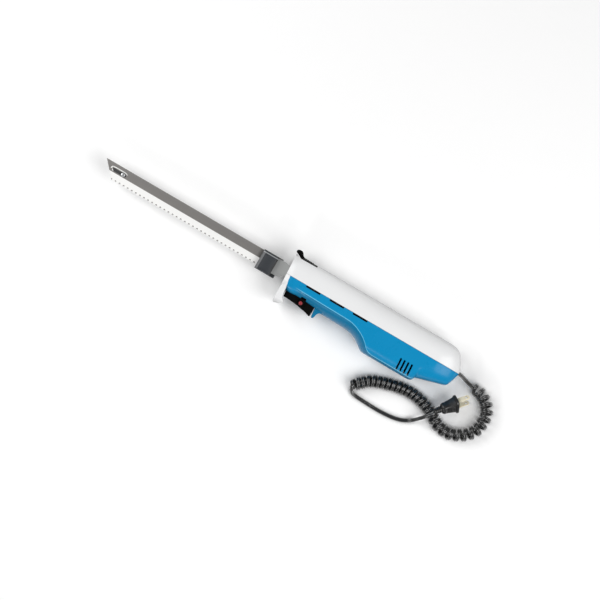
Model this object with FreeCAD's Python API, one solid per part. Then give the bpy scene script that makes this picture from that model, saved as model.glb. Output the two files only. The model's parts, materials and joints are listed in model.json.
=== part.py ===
# Electric fillet knife: two-piece plastic handle, twin reciprocating serrated blades driven through
# drivers, eccentric cams and a worm wheel by a small mains motor, with a coiled cord and plug.
#
# Millimetres.  The knife lies on its right flank.  +X runs from the blade tip to the cord,
# +Y from the cutting edge to the spine and the top of the handle, +Z out of the left flank.
# The origin is the middle of the blade opening in the nose, on the plane between the two blades.
import FreeCAD, Part
import math
import os

V = FreeCAD.Vector

# ---- handle ---------------------------------------------------------------------------------
SPLIT_Y = -2.9              # parting plane between the upper and lower shell
WALL = 2.4
FLANK_Z = 24.0              # flat lands on both flanks; the knife rests on the right one
ROUNDNESS = 3.0             # exponent of the rounded-box cross sections
# stations along the handle: x, top, bottom, half width
BODY = [
    (-3.5, 24.6, -22.4, 19.5), (3, 24.9, -22.5, 18.6), (12, 25, -22.8, 17.4), (30, 25, -23.4, 17.2),
    (57, 25, -25.0, 18.6), (80, 25, -25.5, 20.6), (98, 25, -26.2, 22.6), (107, 25, -28.0, 23.5),
    (115, 25, -31.6, 24.2), (121, 25, -36.0, 24.6), (127, 25, -39.8, 24.8), (135, 25, -41, 24.8),
    (165, 25, -41, 24.8), (186, 25, -41, 24.8), (192, 25, -40.9, 24.8), (197, 25, -39.6, 24.8),
    (200.5, 25, -36.6, 24.7), (204, 25, -34.3, 24.6), (209, 25, -32.6, 24.4), (215, 25, -30.9, 24.0),
    (221.5, 24.9, -29.0, 23.0), (228, 24.2, -27.2, 21.5), (234, 21.4, -25.5, 18.8), (238, 18, -24.2, 16.5),
    (241, 13.8, -22.2, 14.4), (243.5, 9.2, -18.5, 12), (245.6, 5, -12.5, 9.2), (247.6, 0.6, -5.4, 6)]
CAVITY_REAR = [(226, 21.0, -24.8, 19.0), (233, 17.0, -22.0, 15.5), (238, 11.0, -17.5, 11.5),
               (241.5, 6.0, -11.0, 8.0)]
SCREW_POSTS = [(62, -12.5), (121, -18.8), (214, -15.0)]    # x and z of the shell screws, far side only

# ---- blades ---------------------------------------------------------------------------------
BLADE_T = 1.1
BLADE_GAP = 0.05            # each blade stands this far off the middle plane
TIP_X, SPINE_Y, EDGE_Y = -268.0, 8.5, -12.7
HEEL_X = -18.0
TOOTH_PITCH = 5.9
STROKE = 6.0                # each blade travels this far, in opposite directions
SHANK_H = 7.5               # half height of the shank inside the nose
SLOT_X0, SLOT_X1, SLOT_Y, SLOT_H = -255.6, -235.6, 0.4, 3.9
RIVET_X = -240.0

# ---- gear train -----------------------------------------------------------------------------
WHEEL_X, WHEEL_Y = 88.0, 6.0
MODULE, LEAD_ANGLE, PRESSURE = 1.25, math.radians(22.02), math.radians(20)
STARTS, TEETH = 3, 21
WORM_PR = STARTS * MODULE / math.sin(LEAD_ANGLE) / 2
WHEEL_PR = TEETH * MODULE / math.cos(LEAD_ANGLE) / 2
MOTOR_Y = WHEEL_Y - WORM_PR - WHEEL_PR
WHEEL_T = 6.0
WORM_X0, WORM_X1 = 76.0, 100.0
WORM_LEAD = 2 * math.pi * WORM_PR * math.tan(LEAD_ANGLE)
# turn of the wheel that puts a tooth into a gap of the worm at rest
WORM_GAP_X = WORM_X0 + WORM_LEAD / 4 + WORM_LEAD / STARTS / 2
WHEEL_PHASE = -math.pi / 2 + (WORM_GAP_X - WHEEL_X) / WHEEL_PR
CAM_R, CAM_E, CAM_T = 6.0, STROKE / 2, 3.3
YOKE_PLAY = 0.75            # half play of the cam in its window, along the stroke
AXLE_R = 1.5

# ---- motor ----------------------------------------------------------------------------------
SHAFT_R = 2.5
CORE_X0, CORE_X1, CORE_R = 135.0, 165.0, 13.0
FIELD_X0, FIELD_X1, FIELD_BORE = 133.0, 167.0, 13.4
FIELD_H, FIELD_W, FIELD_ROUND = 44.0, 38.0, 23.5
SLOTS = 12
COMM_X0, COMM_X1, COMM_R = 178.0, 190.0, 8.0

# ---- trigger and release --------------------------------------------------------------------
TRIGGER_PIVOT = (12.0, -18.6)
TRIGGER_HALF = 8.4
LOCK_X, LOCK_Y, LOCK_R = 32.5, -26.2, 2.4
RELEASE_PIVOT = (25.5, 20.6)
RELEASE_HALF = 5.5          # half width of the thumb horn and of the part inside the handle

# ---- cord and plug --------------------------------------------------------------------------
CORD_W, CORD_T = 4.6, 2.6   # flat twin-lead cord
COIL_R = 7.15               # centre of the cord to the axis of the coil
TABLE_Z = -FLANK_Z
PLUG_AT = V(265.5, -36.2, -10.3)
PLUG_DIR = V(0.648, 0.732, -0.208)
PLUG_ROLL = 51.0            # degrees about its own axis
PRONG_PITCH, PRONG_W, PRONG_T, PRONG_L = 12.7, 6.35, 1.52, 16.8


# ---- helpers --------------------------------------------------------------------------------
def box(x0, x1, y0, y1, z0, z1):
    return Part.makeBox(x1 - x0, y1 - y0, z1 - z0, V(x0, y0, z0))


def rod_x(r, x0, x1, y=0.0, z=0.0):
    return Part.makeCylinder(r, x1 - x0, V(x0, y, z), V(1, 0, 0))


def rod_y(r, y0, y1, x=0.0, z=0.0):
    return Part.makeCylinder(r, y1 - y0, V(x, y0, z), V(0, 1, 0))


def rod_z(r, z0, z1, x=0.0, y=0.0):
    return Part.makeCylinder(r, z1 - z0, V(x, y, z0), V(0, 0, 1))


def plate(points, z0, z1):
    """A flat outline in X and Y, extruded from z0 to z1."""
    loop = [V(x, y, z0) for x, y in points]
    return Part.Face(Part.makePolygon(loop + loop[:1])).extrude(V(0, 0, z1 - z0))


def slot_z(x0, x1, y, r, z0, z1):
    """A straight slot with round ends, cut along Z."""
    return box(x0 + r, x1 - r, y - r, y + r, z0, z1).fuse(
        [rod_z(r, z0, z1, x0 + r, y), rod_z(r, z0, z1, x1 - r, y)])


def union(shapes):
    return shapes[0].fuse(shapes[1:]).removeSplitter() if len(shapes) > 1 else shapes[0]


def flip(shape):
    """The mirror image on the other side of the blade plane."""
    return shape.mirror(V(0, 0, 0), V(0, 0, 1))


def shifted(shape, x=0.0, y=0.0, z=0.0):
    moved = shape.copy()
    moved.translate(V(x, y, z))
    return moved


def save(name, shape):
    """Write one node: a single solid, or a compound when it is a group of separate solids."""
    if isinstance(shape, list):
        shape = Part.makeCompound(shape)
    elif len(shape.Solids) == 1:
        shape = shape.Solids[0]
    print(name, len(shape.Solids), shape.isValid(), round(shape.Volume, 1))
    shape.exportStep("parts/%s.step" % name)


# ---- handle shells --------------------------------------------------------------------------
def handle_section(x, top, bottom, half):
    """One closed rounded-box curve across the handle."""
    mid, tall = (top + bottom) / 2, (top - bottom) / 2
    points = []
    for i in range(28):
        c, s = math.cos(2 * math.pi * i / 28), math.sin(2 * math.pi * i / 28)
        dy = math.copysign(abs(c) ** (2 / ROUNDNESS), c) * tall
        dz = math.copysign(abs(s) ** (2 / ROUNDNESS), s) * half
        points.append(V(x, mid + dy, dz))
    curve = Part.BSplineCurve()
    curve.interpolate(points, PeriodicFlag=True)
    return Part.Wire(curve.toShape())


def handle_outside():
    body = Part.makeLoft([handle_section(*s) for s in BODY], True, False)
    body = body.common(box(-10, 260, -60, 60, -FLANK_Z, FLANK_Z))
    lean = plate([(-20, -60), (0, -60), (0, -22), (-2.6, 24.4), (-2.6, 60), (-20, 60)], -40, 40)
    return body.cut(lean)


def handle_cavity():
    stations = [(x, t - WALL, b + WALL, h - WALL) for x, t, b, h in BODY if 2 < x < 220]
    stations[0] = (4.0,) + stations[0][1:]
    return Part.makeLoft([handle_section(*s) for s in stations + CAVITY_REAR], True, False)


def nose_zone():
    """The part of the nose that belongs to the upper shell: a flange over the full height."""
    return plate([(-12, SPLIT_Y), (4.4, SPLIT_Y), (5, -9), (7.5, -19), (8.1, -22.5), (8.1, -60),
                  (-12, -60)], -40, 40)


def finger_guard():
    """Flared lip below the nose flange that keeps the hand off the blades."""
    side = [(0, -16), (0, -40.4), (1.2, -41.7), (3.4, -42), (8, -40.2), (13.8, -38), (12.6, -34.6),
            (9.2, -31), (7.6, -26), (7.2, -19), (4.6, -16)]
    lip = plate(side, -16, 16)
    rounding = Part.makeCylinder(24, 30, V(-5, -18, 0), V(1, 0, 0))
    return lip.common(rounding)


def screw_posts(lower):
    """Screw posts of one shell as plain columns, and the holes that go into them."""
    posts, holes = [], []
    for x, z in SCREW_POSTS:
        posts.append(rod_y(3.9 if lower else 3.4, -50, 40, x, z))
        if lower:
            holes.append(rod_y(3.0, -50, -14, x, z))
        holes.append(rod_y(1.7 if lower else 1.5, -15, 8, x, z))
    return posts, holes


def motor_ribs():
    """Two saddle ribs that hold the field stack, notched at the top for the lead wires."""
    pocket = field_outline(0.15, 130, 170)
    notches = [box(130, 170, 18.4, 60, z, z + 2.4) for z in (4.2, -6.6)]
    return [box(x, x + 2.5, -60, 60, -40, 40).cut([pocket] + notches) for x in (140, 157.5)]


def upper_shell(outside, cavity):
    zone = box(-20, 260, SPLIT_Y, 40, -40, 40).fuse(nose_zone())
    posts, holes = screw_posts(False)
    frame_posts = [rod_y(3.4, 14.4, 40, 108, s * 14) for s in (-1, 1)]
    hollow = cavity.cut(posts + frame_posts + motor_ribs())
    shell = outside.common(zone).fuse(finger_guard()).cut(hollow)
    cuts = holes + [rod_y(1.5, 10, 22, 108, s * 14) for s in (-1, 1)]
    half = RELEASE_HALF + 0.4
    cuts.append(box(-5, 5, -9, 9.6, -2.3, 2.3))                     # blade port
    cuts.append(box(2.8, 28.6, 18.0, 30, -half, half))              # opening for the release
    cuts.append(box(-6, 5, 21.2, 30, -half, half))
    cuts.append(plate([(-8, 25.5), (-2.3, 24.9), (0.7, 23.6), (4.2, 21.9), (28.6, 22.4), (28.6, 30),
                       (-8, 30)], -22, 22))
    cuts += [rod_x(3.6, 235, 252, -1.6), release_pin()]
    for cut in cuts:
        shell = shell.cut(cut)
    return shell


def trigger_opening():
    half = TRIGGER_HALF + 0.35
    hole = plate([(8.2, -45), (8.2, -15.4), (50.9, -15.4), (50.9, -45)], -half, half)
    ear = box(29.6, 36.7, -45, -18.4, -14, 14)
    return hole.fuse(ear)


def hook():
    """Short hook behind the trigger that stops the first finger sliding back."""
    side = [(50.9, -22), (51.6, -26), (51.9, -31), (52.2, -34.2), (53.4, -35.2), (54.9, -34.6),
            (55.9, -31), (58.5, -27.2), (64, -24), (64, -22)]
    return plate(side, -8, 8)


def lower_shell(outside, cavity):
    zone = box(-20, 260, -60, SPLIT_Y, -40, 40).cut(nose_zone())
    posts, holes = screw_posts(True)
    hollow = cavity.cut(posts + motor_ribs())
    shell = outside.common(zone).fuse(hook()).cut(hollow)
    cuts = holes + [trigger_opening(), trigger_pin()]
    for x0, x1 in ((28, 48), (62, 82), (95, 115.6)):                # seam vents
        vent = box(x0, x1, SPLIT_Y - 2.1, SPLIT_Y + 1, 14 if x0 < 60 else 16.5, 30)
        cuts += [vent, flip(vent)]
    for i in range(4):                                              # motor vents, both flanks
        x = 175.6 + 5.2 * i
        bar = plate([(x - 1.6, -22), (x + 0.4, -22), (x + 1.6, -37), (x - 0.4, -37)], 8, 30)
        cuts += [bar, flip(bar)]
    cuts.append(rod_x(3.6, 235, 252, -1.6))
    for cut in cuts:
        shell = shell.cut(cut)
    return shell


def shell_screws():
    screws = []
    for x, z in SCREW_POSTS:
        slot = box(x - 2, x + 2, -16.6, -15.5, z - 0.4, z + 0.4)
        cross = box(x - 0.4, x + 0.4, -16.6, -15.5, z - 2, z + 2)
        body = rod_y(2.7, -16.4, -14, x, z).fuse(rod_y(1.45, -14, 7.4, x, z))
        screws.append(body.cut([slot, cross]))
    return screws


# ---- trigger, lock and switch -----------------------------------------------------------------
def trigger():
    px, py = TRIGGER_PIVOT
    side = [(8.8, -21.5), (9.4, -28.6), (10.2, -29.3), (18, -29.6), (30.6, -31), (43, -33.3), (49.4, -35.2),
            (50.4, -34.6), (50.3, -21.5), (30, -20.4), (15.2, -18.4), (13.6, -16.3), (10.4, -16.3), (8.7, -18)]
    body = plate(side, -TRIGGER_HALF, TRIGGER_HALF)
    body = body.cut(plate([(15, -10), (15, -27), (30, -28.5), (48.2, -31.4), (48.2, -10)], -6.6, 6.6))
    ears = [box(30.2, 36.1, -28, -20.4, z, z + 5.2) for z in (6.4, -11.6)]
    bridge = box(28.4, 36.6, -29.5, -22.4, -6.8, 6.8)
    pusher = box(28.4, 31.4, -24, -19.3, -2, 2)
    body = union([body, bridge, pusher] + ears)
    bar = rod_z(LOCK_R + 0.06, -20, 20, LOCK_X, LOCK_Y)
    return body.cut([rod_z(1.56, -20, 20, px, py), bar])


def trigger_pin():
    return rod_z(1.5, -11.2, 11.2, *TRIGGER_PIVOT)


def lock_button():
    bar = rod_z(LOCK_R, -12.4, 14.4, LOCK_X, LOCK_Y)
    dish = Part.makeSphere(6, V(LOCK_X, LOCK_Y, 14.4 + 5.5))
    return bar.cut(dish)


def switch_body():
    case = box(21, 44, -16.4, -8.2, -6, 6)
    well = box(28.2, 31.6, -17, -10.2, -1.8, 1.8)
    tabs = [box(44, 48.5, -11, -10.2, z, z + 2.4) for z in (-4.8, 2.4)]
    return union([case] + tabs).cut(well)


def switch_plunger():
    return box(28.4, 31.4, -19.2, -12.0, -1.6, 1.6)


def coil_spring(r, wire, length, turns):
    """Compression spring standing on its end at the origin, along +Y."""
    helix = Part.makeHelix(length / turns, length, r)
    ring = Part.Wire(Part.Circle(V(r, 0, 0), V(0, 1, 0), wire).toShape())
    spring = Part.Wire(helix.Edges).makePipeShell([ring], True, False)
    spring.rotate(V(0, 0, 0), V(1, 0, 0), -90)
    return spring


def trigger_spring():
    return shifted(coil_spring(2.2, 0.35, 12.4, 7), 41, -29.6, 0)


# ---- blade release --------------------------------------------------------------------------
def blade_release():
    """Thumb horn in front, a thin strip across the top of the handle, a pivot lug behind."""
    side = [(-4.4, 28.4), (-4.2, 26.8), (-1.6, 25.7), (1.2, 24.2), (4.6, 22.4), (5, 21.9), (22.8, 21.9),
            (22.8, 19), (28, 19), (28, 24.3), (17, 24.9), (8.3, 25.1), (4.9, 27.8), (3, 30.4), (0.8, 31.2),
            (-2.5, 30.4)]
    body = plate(side, -RELEASE_HALF, RELEASE_HALF)
    strip = plate([(4.6, 23.8), (10, 23.5), (20, 22.9), (28, 22.65), (28, 24.3), (17, 24.9), (8.3, 25.1),
                   (4.6, 25.3)], -12, 12)
    strip = strip.common(rod_x(22.5, -10, 40, 2.84))
    skirts = [box(5.2, 23, 20.4, 22, z, z + 1.4) for z in (4.1, -5.5)]
    stems = [box(13, 17, 11, 22.5, z, z + 3.2) for z in (2.2, -5.4)]
    feet = [box(13, 17, 9.5, 12.5, z, z + 3.2) for z in (4.2, -7.4)]
    return union([body, strip] + skirts + stems + feet).cut(rod_z(1.06, -20, 20, *RELEASE_PIVOT))


def release_pin():
    return rod_z(1.0, -11.6, 11.6, *RELEASE_PIVOT)


def release_spring():
    return shifted(coil_spring(1.9, 0.3, 10.9, 5), 8.5, 10.6, 0)


def blade_guide():
    """Plain-bearing block behind the nose that guides both shanks and seats the release spring."""
    block = box(5.2, 11.4, -12, 10.2, -8.5, 8.5)
    return block.cut(box(0, 20, -7.9, 7.9, -1.35, 1.35))


# ---- blades ---------------------------------------------------------------------------------
def blade_outline():
    """Serrated blade with its shank: straight spine, slanted tip and heel."""
    back = [(24.0, SHANK_H), (-9.4, SHANK_H), (-15, SPINE_Y), (TIP_X, SPINE_Y)]
    teeth = []
    count = int((HEEL_X - 4 - (TIP_X + 19)) / TOOTH_PITCH)
    for i in range(count):
        x = TIP_X + 19.0 + TOOTH_PITCH * i
        teeth += [(x, EDGE_Y), (x + 3.9, EDGE_Y + 0.25), (x + 4.6, EDGE_Y + 1.5), (x + 5.3, EDGE_Y + 0.25)]
    heel = [(HEEL_X, EDGE_Y), (-12.6, -11.8), (-11, -8.4), (-9.6, -SHANK_H), (24.0, -SHANK_H)]
    return back + teeth + heel


def left_blade():
    z0, z1 = BLADE_GAP, BLADE_GAP + BLADE_T
    blade = plate(blade_outline(), z0, z1)
    grind = Part.makePolygon([V(0, -3, z1), V(0, EDGE_Y - 1, z0 + 0.15), V(0, EDGE_Y - 1, z1 + 1),
                              V(0, -3, z1 + 1), V(0, -3, z1)])
    bevel = Part.Face(grind).extrude(V(TIP_X - 5 - HEEL_X - 1, 0, 0))
    bevel.translate(V(HEEL_X - 1, 0, 0))
    hole = rod_z(2.55, -2, 3, 15, 0)
    return blade.cut([bevel, hole])


def left_blade_slotted():
    return left_blade().cut(slot_z(SLOT_X0, SLOT_X1, SLOT_Y, SLOT_H / 2, -1, 3))


def right_blade():
    blade = shifted(flip(left_blade()), STROKE)
    return blade.cut(rod_z(1.6, -3, 3, RIVET_X, SLOT_Y))


def tip_rivet():
    """Headed rivet set in the right blade; it rides in the long slot of the left blade."""
    outer = BLADE_GAP + BLADE_T
    head = rod_z(2.75, outer + 0.05, outer + 0.75, RIVET_X, SLOT_Y)
    return union([head, rod_z(1.6, -outer, outer + 0.1, RIVET_X, SLOT_Y),
                  rod_z(2.3, -outer - 0.4, -outer, RIVET_X, SLOT_Y)])


def left_guard():
    """Moulded guard round the heel of a blade: chamfered block, pocketed for the blade."""
    front, rear = -36.9, -18.75
    top, bottom, thick = 9.7, -16.9, 8.4
    block = box(front - 3.1, rear, bottom, top, 0.1, thick)
    nose = plate([(front - 4, 0), (front, 0), (front - 4, 9)], -30, 30)
    nose.rotate(V(0, 0, 0), V(1, 0, 0), 90)
    ramp = Part.Face(Part.makePolygon([V(0, 7.9, thick), V(0, 10.5, thick), V(0, 10.5, thick - 2.9),
                                       V(0, 7.9, thick)])).extrude(V(-40, 0, 0))
    lead = Part.Face(Part.makePolygon([V(front, 0, thick), V(front - 4, 0, thick - 6),
                                       V(front - 4, 0, thick + 1), V(front, 0, thick)]))
    lead = shifted(lead.extrude(V(0, 40, 0)), 0, -25, 0)
    block = block.cut([shifted(ramp, -10), lead])
    return block.cut(left_blade())


# ---- drivers, cams and gears ------------------------------------------------------------------
def left_driver():
    """Nylon bar that carries one blade; its window runs on the cam of the worm wheel."""
    z0, z1 = BLADE_GAP + BLADE_T + 0.05, CAM_T + WHEEL_T / 2
    cam_x = WHEEL_X - CAM_E
    half = CAM_R + YOKE_PLAY
    bar = box(12.5, 68, -5, 5, z0, z1).fuse(box(60, cam_x - half, -5, 5, 3.4, z1))
    bar = bar.cut(box(66, 80, -6, 6, 0, 3.4))
    yoke = box(cam_x - half - 3.2, cam_x + half + 3.2, WHEEL_Y - 12.7, WHEEL_Y + 12.7, 3.4, z1)
    window = box(cam_x - half, cam_x + half, WHEEL_Y - 9.4, WHEEL_Y + 9.4, 0, 10)
    peg = rod_z(2.5, BLADE_GAP + 0.1, z0 + 0.5, 15, 0)
    shelf = box(24.4, 60, -5, 5, BLADE_GAP + 0.05, z0 + 0.1)
    return union([bar, yoke, peg, shelf]).cut(window)


def left_catch():
    """Leaf spring on the outside of the driver that clips the blade shank."""
    z = CAM_T + WHEEL_T / 2
    leaf = box(12.5, 40, -3, 3, z, z + 0.5)
    tab = box(12.5, 16.5, 3, 8.2, z, z + 0.5)
    return leaf.fuse(tab).removeSplitter()


def involute_tooth(pitch_r, tip_r, root_r, pressure, half_angle, at, z):
    """Edges of one transverse tooth: flank, tip, flank, and the root land up to the next tooth."""
    base_r = pitch_r * math.cos(pressure)
    inv = math.tan(pressure) - pressure

    def half_at(r):
        a = math.acos(min(1.0, base_r / r))
        return half_angle + inv - (math.tan(a) - a)

    def spot(r, angle):
        return V(r * math.cos(at + angle), r * math.sin(at + angle), z)

    low = max(root_r, base_r)
    radii = [low + (tip_r - low) * k / 4 for k in range(5)]
    left = [spot(r, -half_at(r)) for r in radii]
    right = [spot(r, half_at(r)) for r in reversed(radii)]
    if low > root_r:
        left.insert(0, spot(root_r, -half_at(low)))
        right.append(spot(root_r, half_at(low)))
    return left, spot(tip_r, 0), right


def gear_section(teeth, pitch_r, tip_r, root_r, pressure, half_angle, turn, z):
    """A closed transverse gear outline at height z, turned by an angle."""
    edges, first, last = [], None, None
    step = 2 * math.pi / teeth
    for i in range(teeth):
        at = turn + step * i
        left, crown, right = involute_tooth(pitch_r, tip_r, root_r, pressure, half_angle, at, z)
        if last is not None:
            land = V(root_r * math.cos(at - step / 2), root_r * math.sin(at - step / 2), z)
            edges.append(Part.Arc(last, land, left[0]).toShape())
        else:
            first = left[0]
        for flank in (left, right):
            curve = Part.BSplineCurve()
            curve.interpolate(flank)
            edges.append(curve.toShape())
            if flank is left:
                edges.append(Part.Arc(left[-1], crown, right[0]).toShape())
        last = right[-1]
    land = V(root_r * math.cos(turn - step / 2), root_r * math.sin(turn - step / 2), z)
    edges.append(Part.Arc(last, land, first).toShape())
    return Part.Wire(edges)


def worm():
    """Three-start worm along +X, with a little backlash."""
    pressure = math.atan(math.tan(PRESSURE) / math.sin(LEAD_ANGLE))
    thin = 0.25 / math.sin(LEAD_ANGLE) / 2 / WORM_PR
    length = WORM_X1 - WORM_X0
    count = 48
    wires = []
    for i in range(count + 1):
        along = length * i / count
        wires.append(gear_section(STARTS, WORM_PR, WORM_PR + MODULE, WORM_PR - 1.25 * MODULE, pressure,
                                  math.pi / 2 / STARTS - thin, 2 * math.pi * along / WORM_LEAD, along))
    body = Part.makeLoft(wires, True, False)
    body.rotate(V(0, 0, 0), V(0, 1, 0), 90)
    body.translate(V(WORM_X0, MOTOR_Y, 0))
    return body


def worm_wheel():
    """Helical wheel with a round cam on each face; the cams stand half a turn apart."""
    pressure = math.atan(math.tan(PRESSURE) / math.cos(LEAD_ANGLE))
    thin = 0.15 / math.cos(LEAD_ANGLE) / 2 / WHEEL_PR
    twist = math.tan(LEAD_ANGLE) / WHEEL_PR
    wires = []
    for k in range(5):
        z = WHEEL_T * (k / 4 - 0.5)
        wires.append(gear_section(TEETH, WHEEL_PR, WHEEL_PR + MODULE, WHEEL_PR - 1.25 * MODULE, pressure,
                                  math.pi / 2 / TEETH - thin, WHEEL_PHASE + twist * z, z))
    body = Part.makeLoft(wires, True, False)
    half = WHEEL_T / 2
    cams = [rod_z(CAM_R, half - 0.5, half + CAM_T, -CAM_E, 0),
            rod_z(CAM_R, -half - CAM_T, -half + 0.5, CAM_E, 0)]
    body = union([body] + cams).cut(rod_z(AXLE_R + 0.05, -20, 20))
    body.translate(V(WHEEL_X, WHEEL_Y, 0))
    return body


def gear_axle():
    return rod_z(AXLE_R, -9.6, 9.6, WHEEL_X, WHEEL_Y)


def gear_frame():
    """Cast frame round the wheel: two cheeks, a front thrust wall and the motor bulkhead."""
    cheek = plate([(68, -20), (110, -20), (110, 14.4), (100, 18), (76, 18), (68, -7.6)], 7.2, 9.2)
    thrust = box(68, 71, -20, -7.8, -8, 8)
    bulkhead = box(108, 112, -20, 12, -14, 14)
    lugs = box(104, 112, 12, 14.4, -17.6, 17.6)
    webs = [box(100, 108, -20, -17.8, -8, 8)]
    body = union([cheek, flip(cheek), thrust, bulkhead, lugs] + webs)
    holes = [rod_x(5, 100, 115, MOTOR_Y), rod_x(2.05, 60, 80, MOTOR_Y),
             rod_z(AXLE_R, -20, 20, WHEEL_X, WHEEL_Y)]
    holes += [rod_y(1.7, 5, 20, 108, s * 14) for s in (-1, 1)]
    holes += [rod_y(2.9, -25, 12, 108, s * 14) for s in (-1, 1)]    # driver access to the screws
    holes.append(box(103, 107.9, 11.9, 15, -9, 9))
    return body.cut(holes)


def frame_screws():
    screws = []
    for side in (-1, 1):
        head = rod_y(2.7, 9.8, 12, 108, side * 14)
        screws.append(head.fuse(rod_y(1.45, 12, 21.6, 108, side * 14)))
    return screws


# ---- motor ----------------------------------------------------------------------------------
def ring_x(r0, r1, x0, x1, a0=0.0, a1=360.0):
    """Part of a ring about the motor axis, between two angles from the +Z side towards +Y."""
    profile = Part.Face(Part.makePolygon([V(x0, 0, r0), V(x1, 0, r0), V(x1, 0, r1), V(x0, 0, r1),
                                          V(x0, 0, r0)]))
    if a1 - a0 < 360:
        profile.rotate(V(0, 0, 0), V(1, 0, 0), -a0)
    body = profile.revolve(V(0, 0, 0), V(1, 0, 0), -(a1 - a0))
    if body.Volume < 0:
        body.reverse()
    body.translate(V(0, MOTOR_Y, 0))
    return body


def armature_shaft():
    body = rod_x(SHAFT_R, 74, 204, MOTOR_Y).fuse([worm(), rod_x(2.0, 67.5, 77, MOTOR_Y)])
    return body.removeSplitter()


def winding_slots(grow):
    """Bars that fill the slots of the armature core."""
    bars = []
    for i in range(SLOTS):
        bar = box(CORE_X0 - 1, CORE_X1 + 1, 7 - grow, 12.1 + grow, -1.1 - grow, 1.1 + grow)
        bar.rotate(V(0, 0, 0), V(1, 0, 0), 360 / SLOTS * i)
        bar.translate(V(0, MOTOR_Y, 0))
        bars.append(bar)
    return bars


def armature_core():
    core = ring_x(SHAFT_R, CORE_R, CORE_X0, CORE_X1)
    mouths = []
    for i in range(SLOTS):
        mouth = box(CORE_X0 - 1, CORE_X1 + 1, 11, 14, -0.5, 0.5)
        mouth.rotate(V(0, 0, 0), V(1, 0, 0), 360 / SLOTS * i)
        mouth.translate(V(0, MOTOR_Y, 0))
        mouths.append(mouth)
    return core.cut(winding_slots(0.1) + mouths)


def armature_windings():
    ends = [ring_x(3.4, 12.3, CORE_X0 - 7, CORE_X0 - 0.05), ring_x(3.4, 12.3, CORE_X1 + 0.05, CORE_X1 + 7)]
    return union(ends + winding_slots(0.0))


def commutator():
    body = ring_x(SHAFT_R, COMM_R, COMM_X0, COMM_X1)
    slits = []
    for i in range(SLOTS):
        slit = box(COMM_X0 - 1, COMM_X1 + 1, COMM_R - 1, COMM_R + 1, -0.2, 0.2)
        slit.rotate(V(0, 0, 0), V(1, 0, 0), 360 / SLOTS * i)
        slit.translate(V(0, MOTOR_Y, 0))
        slits.append(slit)
    return body.cut(slits)


def fan():
    hub, disc = ring_x(SHAFT_R, 5.5, 117.5, 126), ring_x(5, 14, 124.4, 126)
    vanes = []
    for i in range(9):
        vane = box(117.8, 124.6, 5, 13.6, -0.6, 0.6)
        vane.rotate(V(120, 5, 0), V(0, 1, 0), 12)
        vane.rotate(V(0, 0, 0), V(1, 0, 0), 40 * i)
        vane.translate(V(0, MOTOR_Y, 0))
        vanes.append(vane)
    return union([hub, disc] + vanes)


def front_bearing():
    return ring_x(SHAFT_R + 0.05, 5, 106, 113)


def rear_bearing():
    return ring_x(SHAFT_R + 0.05, 5.5, 194, 202)


def field_outline(grow, x0, x1):
    """Rounded-square prism about the motor axis."""
    square = box(x0, x1, MOTOR_Y - FIELD_H / 2 - grow, MOTOR_Y + FIELD_H / 2 + grow,
                 -FIELD_W / 2 - grow, FIELD_W / 2 + grow)
    return square.common(rod_x(FIELD_ROUND + grow, x0, x1, MOTOR_Y))


def coil_sides(grow, x0, x1):
    """The four legs of the two field coils."""
    return [ring_x(13.6 - grow, 17.6 + grow, x0, x1, a - grow * 2, a + 22 + grow * 2)
            for a in (12, 146, 192, 326)]


def field_stack():
    stack = field_outline(0, FIELD_X0, FIELD_X1).cut(rod_x(FIELD_BORE, 120, 180, MOTOR_Y))
    bolts = [rod_x(1.55, 120, 180, MOTOR_Y + s * 19.9) for s in (-1, 1)]
    return stack.cut(coil_sides(0.25, 120, 180) + bolts)


def field_coils():
    coils = []
    legs = coil_sides(0.0, FIELD_X0 - 1, FIELD_X1 + 1)
    for a, pair in ((12, legs[:2]), (192, legs[2:])):
        ends = [ring_x(13.6, 17.6, FIELD_X0 - 5.5, FIELD_X0 - 0.2, a, a + 156),
                ring_x(13.6, 17.6, FIELD_X1 + 0.2, FIELD_X1 + 5.5, a, a + 156)]
        coils.append(union(ends + pair))
    return coils


def end_bracket():
    """Moulded bracket that carries the rear bearing and the brush holders."""
    bar = box(195, 199, MOTOR_Y - 21.9, MOTOR_Y + 21.9, -5, 5)
    cross = box(195, 199, MOTOR_Y - 6.5, MOTOR_Y + 6.5, -18, 18)
    seat = rod_x(8, 194, 202, MOTOR_Y)
    arms = [box(188.2, 196, MOTOR_Y - 4, MOTOR_Y + 4, z, z + 5) for z in (12.5, -17.5)]
    legs = [box(172.8, 196, MOTOR_Y + s * 19.9 - 2, MOTOR_Y + s * 19.9 + 2, -4, 4) for s in (-1, 1)]
    feet = [box(FIELD_X1, 173, MOTOR_Y + s * 19.9 - 1.9, MOTOR_Y + s * 19.9 + 2, -4, 4) for s in (-1, 1)]
    body = union([bar, cross, seat] + arms + legs + feet)
    holes = [rod_x(5.5, 190, 210, MOTOR_Y)]
    for s in (-1, 1):
        holes += [rod_x(1.55, 160, 210, MOTOR_Y + s * 19.9), rod_x(2.2, 197.4, 210, MOTOR_Y + s * 19.9)]
    return body.cut(holes)


def motor_screws():
    return [rod_x(1.5, 140, 197.4, MOTOR_Y + s * 19.9).fuse(rod_x(2.0, 197.4, 199, MOTOR_Y + s * 19.9))
            for s in (-1, 1)]


def brush_holders():
    holder = box(180, 188.2, MOTOR_Y - 3.6, MOTOR_Y + 3.6, 9.2, 19.4)
    holder = holder.cut(box(181.5, 186.7, MOTOR_Y - 2.6, MOTOR_Y + 2.6, 8, 18.8))
    return [holder, flip(holder)]


def brushes():
    brush = box(181.6, 186.6, MOTOR_Y - 2.5, MOTOR_Y + 2.5, COMM_R - 0.6, 14)
    brush = brush.cut(rod_x(COMM_R + 0.05, 170, 200, MOTOR_Y))
    return [brush, flip(brush)]


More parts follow.
